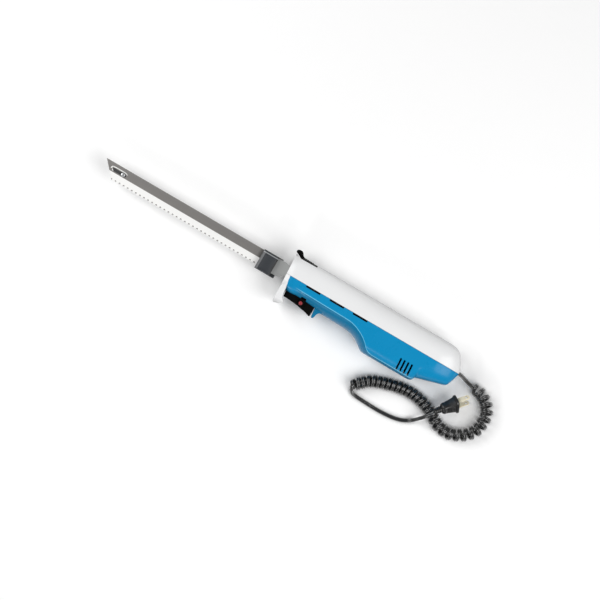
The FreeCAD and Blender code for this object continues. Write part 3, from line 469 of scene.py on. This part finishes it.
def handle_row(x, inner=0.0):
    """One closed section of the handle: from the top down the left flank and up the right."""
    top, bottom, half = top_at(x) - inner, bottom_at(x) + inner, half_at(x) - inner
    mid, tall = (top + bottom) / 2, (top - bottom) / 2
    crease = crease_at(x)
    dys = [math.copysign(abs(math.cos(t)) ** (2 / 3.0), math.cos(t))
           for t in np.linspace(0.06, math.pi - 0.06, 44)]
    marks = [SPLIT + d for d in (-0.5, -0.22, 0, 0.22, 0.5)]
    marks += [crease + d for d in (0.8, 0.12, 0, -0.8, -0.92, -1.6)]
    ys = sorted([mid + tall * d for d in dys] + [min(max(m, bottom + 0.02), top - 0.02) for m in marks],
                reverse=True)
    fade = smooth((x - 12) / 12) * (1 - smooth((x - 200) / 8))
    flank = []
    for y in ys:
        z = half * (1 - min(1, abs((y - mid) / tall)) ** 3) ** (1 / 3)
        if not inner:
            z = min(z, LAND)
            z -= SEAM_GROOVE * max(0, 1 - abs(y - SPLIT) / SEAM_REACH)
            deep = 1.0 if x < 125 else 1.0 - 0.25 * smooth((x - 125) / 10)
            ledge = min(max((crease - y) / LEDGE_HEIGHT, 0), 1)
            z -= fade * deep * (LEDGE * ledge + LEAN * smooth((crease - y) / LEAN_HEIGHT))
        flank.append((x, y, max(z, 0.3)))
    return [(x, top, 0)] + flank + [(x, bottom, 0)] + [(a, b, -c) for a, b, c in reversed(flank)]


def handle_solid(name, inner=0.0):
    """The whole handle, or the hollow in it when inner is the wall; rows are closer where it curves more."""
    xs = []
    stretches = ((-3.6, 20, 0.8), (20, 100, 2.0), (100, 140, 1.0), (140, 190, 2.5), (190, 210, 0.6),
                 (210, 234, 1.5), (234, 247.8, 0.45))
    for start, end, step in stretches:
        xs += list(np.arange(start, end, step))
    xs.append(247.8)
    if inner:
        xs = [4.2] + [x for x in xs if 4.6 < x < 243.8]
    return skin(name, [handle_row(x, inner) for x in xs])


def nose_zone():
    """The part of the nose below the seam that belongs to the upper shell."""
    side = [(-12, SPLIT), (4.4, SPLIT), (5, -9), (7.5, -19), (8.1, -22.5), (8.1, -60), (-12, -60)]
    return plate("nose", side, -40, 40)


def finger_guard():
    """Flared lip under the nose flange."""
    side = [(0.05, -14), (0.05, -40.2), (1.2, -41.6), (3.4, -41.9), (8, -40.2), (13.7, -38), (12.6, -34.8),
            (9.6, -31.4), (7.9, -27), (7.3, -20), (6.2, -14)]
    lip = plate("lip", side, -16, 16, 0.5)
    drum = lathe("drum", [(-6, 24), (30, 24)], aim((0, -18, 0), (1, 0, 0)), 128)
    return combine(lip, drum, "INTERSECT")


def cylinder(r, a, b, count=48):
    """Round bar between two points."""
    a, b = Vector(a), Vector(b)
    return lathe("bar", [(0, r), ((b - a).length, r)], aim(a, b - a), count)


def cord_hole():
    """Bar that cuts the hole for the cord through both shells."""
    return cylinder(3.7, (232, CORD_EXIT, 0), (256, CORD_EXIT, 0))


def upper_shell():
    """White shell with the nose flange and the finger guard."""
    ob = handle_solid("handle_upper")
    zone = combine(block("zone", -20, 260, SPLIT, 40, -40, 40), nose_zone(), "UNION")
    combine(ob, zone, "INTERSECT")
    lean = plate("lean", [(-30, -60), (0, -60), (0, -22), (-2.6, 24.4), (-3.2, 60), (-30, 60)], -45, 45)
    combine(ob, lean, "DIFFERENCE")
    combine(ob, finger_guard(), "UNION")
    combine(ob, handle_solid("cavity", WALL), "DIFFERENCE")
    half = 5.9                                               # half width of the catch's opening
    blade_opening = block("cut", -8, 5, -9, 9.6, -2.3, 2.3, 0.4)
    catch_opening = block("cut", 2.8, 28.6, 18, 30, -half, half)
    strip_recess = plate("cut", [(-8, 25.5), (-2.3, 24.9), (0.7, 23.6), (4.2, 21.9), (28.6, 22.4),
                                 (28.6, 30), (-8, 30)], -22, 22)
    horn_opening = block("cut", -8, 5, 21.2, 30, -half, half)
    for cut in (blade_opening, catch_opening, strip_recess, horn_opening, cord_hole()):
        combine(ob, cut, "DIFFERENCE")
    return ob


def lower_shell():
    """Blue shell with the finger hook, the seam vents, the motor vents and three screw holes."""
    ob = handle_solid("handle_lower")
    zone = combine(block("zone", -20, 260, -60, SPLIT, -40, 40), nose_zone(), "DIFFERENCE")
    combine(ob, zone, "INTERSECT")
    hook = plate("hook", [(50.9, -22), (51.4, -26), (51.7, -31), (52.1, -34.2), (53.4, -35.3), (55, -34.6),
                          (56, -31.4), (56.7, -28.4), (58.6, -25.8), (62, -24.4), (62, -22)], -8, 8, 0.7)
    combine(ob, hook, "UNION")
    combine(ob, handle_solid("cavity", WALL), "DIFFERENCE")
    half = 8.75                                              # half width of the trigger's opening
    cuts = [plate("cut", [(8.2, -45), (8.2, -15.4), (50.9, -15.4), (50.9, -45)], -half, half),
            block("cut", 29.6, 36.7, -45, -18.4, -14, 14)]
    bottom, far = -6.0, 30                                   # foot of the shelves, reach of every vent cut
    for x0, x1, z0, root in SEAM_VENTS:
        for s in (-1, 1):
            for top, low, high in ((-2.7, z0 - 2.3, root), (0.1, z0 - 2.3, z0 - 1.1)):
                shelf = block("shelf", x0 - 1.2, x1 + 1.2, SPLIT + bottom, SPLIT + top,
                              min(s * low, s * high), max(s * low, s * high))
                combine(ob, shelf, "UNION")
            cuts.append(block("cut", x0, x1, SPLIT - 2.5, SPLIT + 1,
                              min(s * z0, s * far), max(s * z0, s * far)))
    first, step = 175.6, 5.2                                 # motor vents, further back at their lower end
    for i in range(4):
        x = first + step * i
        for s in (-1, 1):
            cuts.append(plate("cut", [(x - 1.8, -22), (x + 0.6, -22), (x + 1.8, -37), (x - 0.6, -37)],
                              min(s * 8, s * far), max(s * 8, s * far), 0.45))
    cuts.append(cord_hole())
    for x, z in ((62, -12.5), (121, -18.8), (214, -15.0)):   # screw holes in the underside, right half
        cuts.append(cylinder(3.0, (x, -50, z), (x, -14, z)))
    for cut in cuts:
        combine(ob, cut, "DIFFERENCE")
    return ob


def mark_band(ob):
    """Vertex masks of the lower shell: painted shade on the band under the crease, and a painted highlight
    on the ledge of the crease itself.
    """
    shade_band = ob.data.attributes.new("shade_band", "FLOAT", "POINT")
    ledge = ob.data.attributes.new("ledge", "FLOAT", "POINT")
    for i, v in enumerate(ob.data.vertices):
        x, y = v.co.x / MM, v.co.y / MM
        fade = smooth((x - 16) / 12) * (1 - smooth((x - 200) / 6))
        under = crease_at(max(10, min(x, 260))) - y
        shade_band.data[i].value = fade * smooth((under - 0.3) / 0.5)
        ledge.data[i].value = fade if -0.05 < under < 0.85 else 0
    return ob


# ---------------------------------------------------------------- trigger, release, guards
def trigger():
    """Black trigger with an ear on each flank, where the lock bolt passes, and inner walls behind it."""
    side = [(8.8, -21.5), (9.3, -28.4), (10.2, -29.3), (18, -29.6), (30.6, -31), (43, -33.3), (48.6, -35.1),
            (49.8, -35.2), (50.4, -34.2), (50.3, -21.5), (30, -20.4), (15.2, -18.4), (13.6, -16.4),
            (10.4, -16.4), (8.7, -18)]
    body = plate("trigger_skin", side, -8.4, 8.4, 0.9)
    ear = 5.2
    for z in (6.2, -6.2 - ear):
        combine(body, block("ear", 30.2, 36.1, -28.3, -20.4, z, z + ear, 0.5), "UNION")
    for x1, top, z0, z1 in ((36.6, -18.2, 4.4, 6.4), (36.6, -18.2, -6.4, -4.4), (31.4, -19.3, -2, 2)):
        combine(body, block("wall", 28.4, x1, -24, top, z0, z1), "UNION")
    bolt_x, bolt_y = LOCK_AXIS
    combine(body, cylinder(2.45, (bolt_x, bolt_y, -20), (bolt_x, bolt_y, 20)), "DIFFERENCE")
    return body


def lock_button():
    """Red cross bolt with a dished end on the left side."""
    profile = [(-12.4, 0), (-12.4, 2.0), (-12.0, 2.4), (13.8, 2.4), (14.2, 2.25), (14.4, 1.95), (14.3, 1.5),
               (14.05, 0.8), (14.0, 0)]
    return lathe("lock_skin", profile, aim((*LOCK_AXIS, 0), (0, 0, 1)), 48)


def blade_release():
    """Thumb horn with a scooped face, and the thin strip that crosses the top of the handle."""
    side = [(-4.4, 28.4), (-4.35, 27.2), (-3.6, 26.5), (-1.6, 25.7), (1.2, 24.2), (4.6, 22.4), (5, 21.9),
            (27.9, 21.9), (27.9, 24.3), (17, 24.9), (9.6, 25.1), (7.6, 25.7), (6.0, 27.0), (4.6, 28.9),
            (3.2, 30.6), (1.6, 31.15), (-0.6, 31.1), (-2.8, 30.5), (-4.0, 29.5)]
    body = plate("release_skin", side, -5.5, 5.5, 0.45)
    strip = plate("strip", [(4.6, 23.8), (10, 23.5), (20, 22.9), (27.9, 22.65), (27.9, 24.3), (17, 24.9),
                            (8.3, 25.1), (4.6, 25.3)], -12, 12)
    drum = lathe("drum", [(-10, 22.5), (40, 22.5)], aim((0, 2.84, 0), (1, 0, 0)), 160)
    combine(strip, drum, "INTERSECT")
    combine(body, strip, "UNION")
    for z in (4.1, -5.5):
        combine(body, block("skirt", 5.2, 27, 20.4, 22.2, z, z + 1.4), "UNION")
    first, step, thick = 11, 2.4, 1.0
    for i in range(5):
        x = first + step * i
        combine(body, block("rib", x, x + thick, 24.0, 25.35, -4.6, 4.6, 0.25), "UNION")
    return body


def spring(name, r, wire, x, y0, y1, turns, closed=0.9):
    """Round-wire compression spring along +Y with its end turns closed."""
    per_turn, gap = 28, 2.1 * wire                           # gap: rise of one closed turn
    steps = int(turns * per_turn)
    open_rise = y1 - y0 - 2 * closed * gap
    rows = []
    for i in range(steps + 1):
        t = turns * i / steps
        opened = max(0, min(t, turns - closed) - closed) / (turns - 2 * closed)
        lift = min(t, closed) * gap + opened * open_rise + max(0, t - turns + closed) * gap
        a = 2 * math.pi * t
        out, side = Vector((math.cos(a), 0, math.sin(a))), Vector((0, 1, 0))
        at = Vector((x, y0 + wire + lift * (1 - 2 * wire / (y1 - y0)), 0)) + out * r
        rows.append([tuple(at + out * (wire * math.cos(b)) + side * (wire * math.sin(b)))
                     for b in np.linspace(0, 2 * math.pi, 10, endpoint=False)])
    return skin(name, rows, 60)


def guard_left():
    """Moulded guard block round the heel of one blade: a sloped lip in front, a facet along the spine."""
    x0, x1, y0, y1, z0, z1 = -40.0, -18.75, -16.9, 9.7, 0.12, 8.4
    base = [(x0, y0), (x1, y0), (x1, y1), (x0, y1)]
    top = [(-36.6, y0 + 0.8), (-20.2, y0 + 0.8), (-20.2, 6.9), (-36.6, 6.9)]
    shoulder = (6.9, 7.6, 6.8, 6.6)                          # height of the sides at each corner of the base
    verts = [(x, y, z0) for x, y in base] + [(x, y, z) for (x, y), z in zip(base, shoulder)]
    verts += [(x, y, z1) for x, y in top]
    faces = [(3, 2, 1, 0), (8, 9, 10, 11)]
    for k in range(4):
        n = (k + 1) % 4
        faces += [(k, n, 4 + n), (k, 4 + n, 4 + k), (4 + k, 4 + n, 8 + n), (4 + k, 8 + n, 8 + k)]
    body = round_edges(new_object("guard_left", verts, faces), 0.5, 3, 12)
    panel = block("panel", -34.8, -21.8, -14.2, 5.0, 8.1, 9.5, 0.3)
    blade_room = block("blade_room", -45, -10, -12.8, 8.6, -1, 1.2)
    combine(body, panel, "DIFFERENCE")
    combine(body, blade_room, "DIFFERENCE")
    return body


# ---------------------------------------------------------------- blades
def blade_outline():
    """Blade seen from its flat side: spine, teeth with one gullet each, heel."""
    top = [(24.0, 7.5), (-9.4, 7.5), (-12.4, 7.9), (-15, SPINE), (-60, SPINE), (-140, SPINE), (-200, SPINE),
           (TIP, SPINE)]
    tooth = [(0, 0), (3.2, 0.05), (3.9, 0.3), (4.15, 1.05), (4.55, 1.6), (4.95, 1.6), (5.3, 1.05),
             (5.5, 0.3)]
    edge_to, teeth_to = -18.0, -22.0                         # where the edge ends, limit for whole teeth
    low = []
    for i in range(int((teeth_to - FIRST_TOOTH) / PITCH)):
        start = FIRST_TOOTH + PITCH * i
        low += [(start + x, EDGE + y) for x, y in tooth]
    heel = [(edge_to, EDGE), (-14.6, -11.7), (-12.7, -10.4), (-11.2, -8.6), (-10.6, -7.8), (-9.6, -7.5),
            (24.0, -7.5)]
    return top + low + heel


def blade_left():
    """Serrated blade, ground on its outer face, with the hole for the catch."""
    ob = plate("blade_left", blade_outline(), 0.05, 1.15)
    wedge = [(-3.0, 1.15), (-13.8, 0.12), (-13.8, 3), (-3.0, 3)]
    verts = [(x, y, z) for x in (TIP - 8, -19) for y, z in wedge]
    faces = [(0, 1, 2, 3), (7, 6, 5, 4)] + [(k, (k + 1) % 4, 4 + (k + 1) % 4, 4 + k) for k in range(4)]
    combine(ob, new_object("wedge", verts, faces), "DIFFERENCE", 20)
    combine(ob, cylinder(2.55, (15, 0, -3), (15, 0, 4)), "DIFFERENCE", 20)
    return ob


def slotted(ob):
    """Cut the long tip slot, whose ends are round."""
    x0, x1, r = -255.6, -235.6, 1.95
    angles = np.linspace(0.2, 2.94, 12)
    rim = [(x0 + r, SLOT_Y + r)] + [(x0 + r - r * math.sin(a), SLOT_Y + r * math.cos(a)) for a in angles]
    rim += [(x0 + r, SLOT_Y - r), (x1 - r, SLOT_Y - r)]
    rim += [(x1 - r + r * math.sin(a), SLOT_Y - r * math.cos(a)) for a in angles] + [(x1 - r, SLOT_Y + r)]
    return combine(ob, plate("slot", rim, -2, 4), "DIFFERENCE", 20)


def slot_rim():
    """Pressed lip that stands along the spine side of the tip slot."""
    path = [(-257.2, 0.2), (-257.0, 2.2), (-255.6, 3.5), (-252, 3.9), (-246, 3.9), (-240, 3.9),
            (-236.6, 3.4), (-234.6, 2.0)]
    along = curve_through([(i, x) for i, (x, _) in enumerate(path)])
    across = curve_through([(i, y) for i, (_, y) in enumerate(path)])
    half_width, half_height, level, count = 0.75, 0.42, 1.1, 60
    last = len(path) - 1
    rows = []
    for i, t in enumerate(np.linspace(0, last, count)):
        a, b = max(0, t - 0.05), min(last, t + 0.05)
        ahead = Vector((along(b) - along(a), across(b) - across(a), 0)).normalized()
        side = Vector((-ahead.y, ahead.x, 0))
        w = half_width * math.sqrt(max(0.02, 1 - (2 * i / (count - 1) - 1) ** 6))
        h = half_height * w / half_width
        middle = Vector((along(t), across(t), level))
        ring = []
        for k in range(12):
            turn = 2 * math.pi * k / 12
            ring.append(tuple(middle + side * (w * math.cos(turn)) + Vector((0, 0, h * math.sin(turn)))))
        rows.append(ring)
    return skin("rim", rows, 60)


def tip_rivet():
    """Headed rivet of the right blade, which rides in the slot of the left one."""
    profile = [(-1.6, 0), (-1.6, 1.9), (-1.4, 2.3), (-1.15, 2.35), (-1.15, 1.6), (1.2, 1.6), (1.2, 2.6),
               (1.45, 2.78), (1.75, 2.5), (1.95, 1.8), (2.05, 0.9), (2.08, 0)]
    return lathe("rivet_skin", profile, aim((-240, SLOT_Y, 0), (0, 0, 1)), 40, 50)


# ---------------------------------------------------------------- cord and plug
CORD_PATH = [(237.5, CORD_EXIT, 0), (247, -2.2, -0.6), (256, -4, -3.4), (266, -7, -9), (275, -8.5, -13.5),
             (286, -11, -15.2), (296, -17, -15.5), (303, -26, -15.5), (305.8, -39, -15.5),
             (303, -54, -15.5), (295, -64, -15.5), (283, -71.5, -15.5), (270, -74, -15.5),
             (254, -69.5, -15.5), (240, -61, -15.5), (224, -55.3, -15.5), (206, -53.3, -15.5),
             (186, -56.5, -15.5), (168, -61.8, -15.5), (156, -67.5, -15.5), (147.5, -75, -15.5),
             (141.5, -82.5, -16.0), (144, -89.4, -19.6), (156, -92.6, -22.2), (180, -93.6, -22.4),
             (204, -92.2, -22.4), (217, -89, -22.2), (226, -84, -20.5), (233, -77.3, -13.5),
             (238.5, -70.8, -6.8), (242.6, -64.6, -3.9), (246.4, -57.8, -4.9)]


def spline(points):
    """Natural cubic spline by chord length: returns a function of the chord parameter, and its length."""
    p = np.array(points, float)
    t = np.concatenate([[0], np.cumsum(np.linalg.norm(np.diff(p, axis=0), axis=1))])
    n, h = len(t), np.diff(t)
    a, r = np.eye(n), np.zeros((n, 3))
    for i in range(1, n - 1):
        a[i, i - 1:i + 2] = h[i - 1], 2 * (h[i - 1] + h[i]), h[i]
        r[i] = 6 * ((p[i + 1] - p[i]) / h[i] - (p[i] - p[i - 1]) / h[i - 1])
    m = np.linalg.solve(a, r)

    def point_at(s):
        i = int(np.clip(np.searchsorted(t, s) - 1, 0, n - 2))
        u, v = t[i + 1] - s, s - t[i]
        return ((m[i] * u ** 3 + m[i + 1] * v ** 3) / (6 * h[i]) + (p[i] / h[i] - m[i] * h[i] / 6) * u
                + (p[i + 1] / h[i] - m[i + 1] * h[i] / 6) * v)
    return point_at, t[-1]


def cord_section():
    """Flat twin-lead section: two round leads with a groove between them."""
    apart, wide, thick = 1.15, 1.2, 1.3                      # lead centre from the middle, radii of a lead
    arc = np.radians(np.linspace(-155, 155, 13))
    right = [(apart + wide * math.cos(a), thick * math.sin(a)) for a in arc]
    return right + [(-x, -y) for x, y in right]


COIL_FROM, COIL_TO = 0.092, 0.700                            # stretch of the cord that is coiled, as shares
COIL_RADIUS, LOOSE_PITCH, TIGHT_PITCH = 7.15, 8.8, 6.5


def power_cord():
    """Twin-lead cord that follows the path, winds round it where it is coiled, and lies flat at the end."""
    path, end = spline(CORD_PATH)
    dense = np.array([path(s) for s in np.linspace(0, end, 4000)])
    length = np.concatenate([[0], np.cumsum(np.linalg.norm(np.diff(dense, axis=0), axis=1))])
    total, per_turn = length[-1], 26

    def centre(along):
        return Vector([np.interp(along, length, dense[:, k]) for k in range(3)])

    spots, along, phi = [], 0.0, math.pi / 2
    while along <= total:
        share = along / total
        coiled = COIL_FROM < share < COIL_TO
        pitch = LOOSE_PITCH + (TIGHT_PITCH - LOOSE_PITCH) * smooth((share - 0.36) / 0.16)
        axis = (centre(min(along + 0.5, total)) - centre(max(along - 0.5, 0))).normalized()
        side = axis.cross(Vector((0, 0, 1))).normalized()
        up = side.cross(axis)
        wobble = 1 + 0.02 * math.sin(along * 0.37) + 0.015 * math.sin(along * 0.91)
        r = COIL_RADIUS * wobble * smooth(min((share - COIL_FROM) / 0.012, (COIL_TO - share) / 0.03))
        out = side * math.cos(phi) + up * math.sin(phi)
        spots.append((centre(along) + out * r, out))
        along += pitch / per_turn if coiled else 1.1
        flat = math.pi / 2 + math.pi * round(phi / math.pi - 0.5)       # nearest roll with both leads flat
        phi += 2 * math.pi / per_turn if coiled else 0.12 * (flat - phi)
    rows, section = [], cord_section()
    for i, (at, out) in enumerate(spots):
        ahead = (spots[min(i + 1, len(spots) - 1)][0] - spots[max(i - 1, 0)][0]).normalized()
        wide = ahead.cross(out).normalized()
        thick = wide.cross(ahead).normalized()
        rows.append([tuple(at + wide * w + thick * t) for w, t in section])
    return skin("cord_skin", rows, 60)


PRONG_Y, PRONG_THIN, PRONG_WIDE = 6.35, 0.76, 3.175          # place, half thickness, half width


def plug_frame():
    """Same placement as the CAD plug: build along +X, roll, then turn the X axis to the plug axis."""
    d = Vector((0.648, 0.732, -0.208)).normalized()
    turn = Vector((1, 0, 0)).rotation_difference(d).to_matrix().to_4x4()
    return Matrix.Translation((265.5, -36.2, -10.3)) @ turn @ Matrix.Rotation(math.radians(51), 4, "X")


def rounded(x, wide, tall, r, place, n=6):
    """Closed rounded rectangle across the plug axis."""
    out = []
    for cy, cz, first in ((1, 1, 0), (-1, 1, 90), (-1, -1, 180), (1, -1, 270)):
        for k in range(n + 1):
            a = math.radians(first + 90 * k / n)
            out.append(tuple(place @ Vector((x, cy * (wide / 2 - r) + r * math.cos(a),
                                             cz * (tall / 2 - r) + r * math.sin(a)))))
    return out


def plug():
    """Moulded plug with a shoulder, a flange, prong slots, grip grooves and a ribbed neck."""
    at = plug_frame()
    sizes = [(-21.2, 10.4, 9.4, 3.9), (-20.7, 12.6, 11.2, 4.6), (-19.6, 13.8, 12.2, 4.8),
             (-17.6, 14.2, 12.6, 4.4), (-16.8, 13.8, 12.0, 3.4), (-16.2, 13.2, 10.8, 1.8),
             (-10, 15.6, 11.4, 1.5), (-4.6, 18.6, 12.2, 1.5), (-3.3, 19.4, 12.6, 1.8),
             (-3.2, 23.8, 15.2, 4.4), (-2.9, 24.8, 15.8, 4.9), (-2.4, 25.0, 16.0, 5.0),
             (-0.4, 25.0, 16.0, 5.0), (-0.05, 24.6, 15.6, 4.9), (0, 23.6, 14.8, 4.8)]
    body = skin("plug_skin", [rounded(x, w, t, r, at) for x, w, t, r in sizes], 40)
    for s in (-1, 1):
        place = at @ Matrix.Translation((0, s * PRONG_Y, 0))
        slot = skin("slot", [rounded(x, 1.9, 6.8, 0.3, place) for x in (-12, 1)])
        combine(body, slot, "DIFFERENCE", 40)
    for k in range(5):
        back = 2.1 * k                                       # from the rear groove towards the flange
        for s in (-1, 1):
            place = at @ Matrix.Translation((0, 0, s * ((11.0 + 0.17 * back) / 2 + 0.35)))
            ends = [rounded(-14.6 + back + e, 9.4, 1.6, 0.5, place) for e in (-0.45, 0.45)]
            combine(body, skin("groove", ends), "DIFFERENCE", 40)
    neck = [(-31, 2.4)]
    for k in range(5):
        x, r = -31 + 2.3 * k, 3.5 + 0.28 * k
        neck += [(x + 0.1, r - 0.25), (x + 0.35, r), (x + 1.15, r), (x + 1.4, r - 0.25), (x + 1.55, r - 0.9),
                 (x + 2.15, r - 0.9)]
    neck += [(-19.5, 4.6), (-19, 2)]
    collar = lathe("neck", neck, at @ Matrix.Rotation(math.radians(90), 4, "Y"), 40, 40)
    return join("plug_skin", [body, collar], 40)


def prongs():
    """Two flat blades with chamfered ends and a hole each."""
    at, parts = plug_frame(), []
    side = [(-12, -PRONG_WIDE), (15.2, -PRONG_WIDE), (16.8, -1.7), (16.8, 1.7), (15.2, PRONG_WIDE),
            (-12, PRONG_WIDE)]
    for s in (-1, 1):
        y = s * PRONG_Y
        verts = [(x, y - PRONG_THIN, z) for x, z in side] + [(x, y + PRONG_THIN, z) for x, z in side]
        faces = [tuple(range(6)), tuple(range(11, 5, -1))]
        faces += [(k, (k + 1) % 6, 6 + (k + 1) % 6, 6 + k) for k in range(6)]
        prong = round_edges(new_object("prong", verts, faces), 0.22)
        combine(prong, cylinder(1.5, (12.6, y - 3, 0), (12.6, y + 3, 0), 32), "DIFFERENCE")
        prong.data.transform(Matrix.Translation(at.translation * MM) @ at.to_3x3().to_4x4())
        parts.append(prong)
    return join("prong_skin", parts)


def strain_relief():
    """Collar where the cord leaves the handle."""
    profile = [(240, 0.1), (240, 3.6), (246.4, 3.6), (246.8, 3.45), (247, 3.0), (247, 0.1)]
    return lathe("relief_skin", profile, aim((0, CORD_EXIT, 0), (1, 0, 0)), 48)


# ---------------------------------------------------------------- build
def put(ob, name, mat, body, slot, *nodes):
    """Name a piece, give it its material and body, and let it stand for CAD nodes. The slot argument is not
    used.
    """
    ob.name = name
    ob.data.name = name
    ob.data.materials.clear()
    ob.data.materials.append(mat)
    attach(ob, body)
    if nodes:
        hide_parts(*nodes)
    return ob


put(upper_shell(), "skin_upper_shell", WHITE, "handle", "white_abs", "upper_shell")
put(mark_band(lower_shell()), "skin_lower_shell", BLUE, "handle", "blue_abs", "lower_shell")
put(trigger(), "skin_trigger", BLACK, "trigger", "black_plastic", "trigger")
put(lock_button(), "skin_lock_button", RED, "lock", "red_plastic", "lock_button")
put(blade_release(), "skin_blade_release", BLACK, "release", "black_plastic", "blade_release")
plain = blade_left()
right = mirrored(plain, "right", STROKE)
put(right, "skin_right_blade", BLADE, "right_cutter", "blade_steel", "right_blade")
left = join("left", [slotted(plain), slot_rim()], 20)
put(left, "skin_left_blade", BLADE, "left_cutter", "blade_steel", "left_blade")
put(tip_rivet(), "skin_tip_rivet", STEEL, "right_cutter", "zinc_steel", "tip_rivet")
guard = guard_left()
right = mirrored(guard, "right", STROKE)
put(right, "skin_right_guard", CHARCOAL, "right_cutter", "charcoal_plastic", "right_guard")
put(guard, "skin_left_guard", CHARCOAL, "left_cutter", "charcoal_plastic", "left_guard")
put(power_cord(), "skin_power_cord", VINYL, "handle", "cord_vinyl", "power_cord")
put(plug(), "skin_plug_body", PLUG, "handle", "cord_vinyl", "plug_body")
put(prongs(), "skin_plug_prongs", BRASS, "handle", "brass", "plug_prongs")
put(strain_relief(), "skin_strain_relief", RUBBER, "handle", "black_rubber", "strain_relief")


def sprung(node, shape):
    """Spring piece on the handle that stands for a CAD node, with a mesh of its own."""
    coil = put(spring(node, *shape), "skin_" + node, SPRING, "handle", "spring_steel", node)
    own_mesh(coil)


sprung("trigger_spring", (2.2, 0.35, 41, -29.6, -17.2, 7))
sprung("release_spring", (1.9, 0.3, 8.5, 10.6, 21.5, 5))

SLOT_LOOKS = {"black_plastic": BLACK, "natural_nylon": NYLON, "zinc_steel": STEEL, "spring_steel": SPRING,
              "ground_steel": GROUND, "cast_frame": CAST, "lamination": LAMINATION, "copper": COPPER,
              "sintered_bronze": BRONZE, "brass": BRASS, "carbon": CARBON, "wire_sleeve": SLEEVE,
              "white_abs": WHITE, "blue_abs": BLUE, "charcoal_plastic": CHARCOAL, "red_plastic": RED,
              "blade_steel": BLADE, "cord_vinyl": VINYL, "black_rubber": RUBBER}
# Every CAD node takes the look of its material slot.
slots = {s["node"]: s["material_slot"] for s in frame["record"]["subparts"]}
for name, ob in frame["nodes"].items():
    ob.data.materials.clear()
    ob.data.materials.append(SLOT_LOOKS[slots[name]])


# ---------------------------------------------------------------- floor, light, camera
def floor():
    """Wide white ground just under the table plane of the CAD."""
    n, span, level = 24, 3000, -24.1
    grid = range(n + 1)
    verts = [((i / n - 0.5) * span, (j / n - 0.5) * span, level) for i in grid for j in grid]
    faces = [(i * (n + 1) + j, (i + 1) * (n + 1) + j, (i + 1) * (n + 1) + j + 1, i * (n + 1) + j + 1)
             for i in range(n) for j in range(n)]
    ob = new_object("floor", verts, faces)
    ob.data.materials.append(material("floor", (0.97, 0.97, 0.97), 0.7, grain=2.0, bump=0.02, mottle=0.004))


def lamp(name, at, aim_at, size, power):
    """Round area lamp, placed in metres and aimed at a point."""
    data = bpy.data.lights.new(name, "AREA")
    data.shape, data.size, data.energy = "DISK", size, power
    ob = bpy.data.objects.new(name, data)
    bpy.context.scene.collection.objects.link(ob)
    ob.location = at
    ob.rotation_mode = "QUATERNION"
    ob.rotation_quaternion = (Vector(aim_at) - Vector(at)).to_track_quat("-Z", "Y")


def sky(strength):
    """Even white light from all round."""
    world = bpy.data.worlds.new("world")
    bpy.context.scene.world = world
    world.use_nodes = True
    background = world.node_tree.nodes["Background"]
    background.inputs["Color"].default_value = (1, 1, 1, 1)
    background.inputs["Strength"].default_value = strength


def camera(width, distance, x, y, roll):
    """Camera straight above the knife that sees a width in metres; the roll in degrees is the photo's."""
    data = bpy.data.cameras.new("camera")
    data.sensor_width = 36
    data.lens = data.sensor_width * distance / width
    ob = bpy.data.objects.new("camera", data)
    bpy.context.scene.collection.objects.link(ob)
    ob.location = (x, y, distance)
    ob.rotation_euler = (0, 0, math.radians(roll))
    bpy.context.scene.camera = ob


floor()
sky(0.31)
lamp("rear", (1.35, -0.05, 1.30), (0.1, 0, 0), 1.4, 20)
lamp("front", (-1.35, 0.0, 1.30), (-0.05, 0, 0), 1.4, 20)
lamp("low", (0.05, -1.5, 0.9), (0, 0, 0), 0.25, 3)
camera(width=0.75, distance=3.0, x=0.0299, y=-0.0231, roll=30.3)
bpy.context.scene.view_settings.view_transform = "Standard"
bpy.context.scene.view_settings.look = "None"
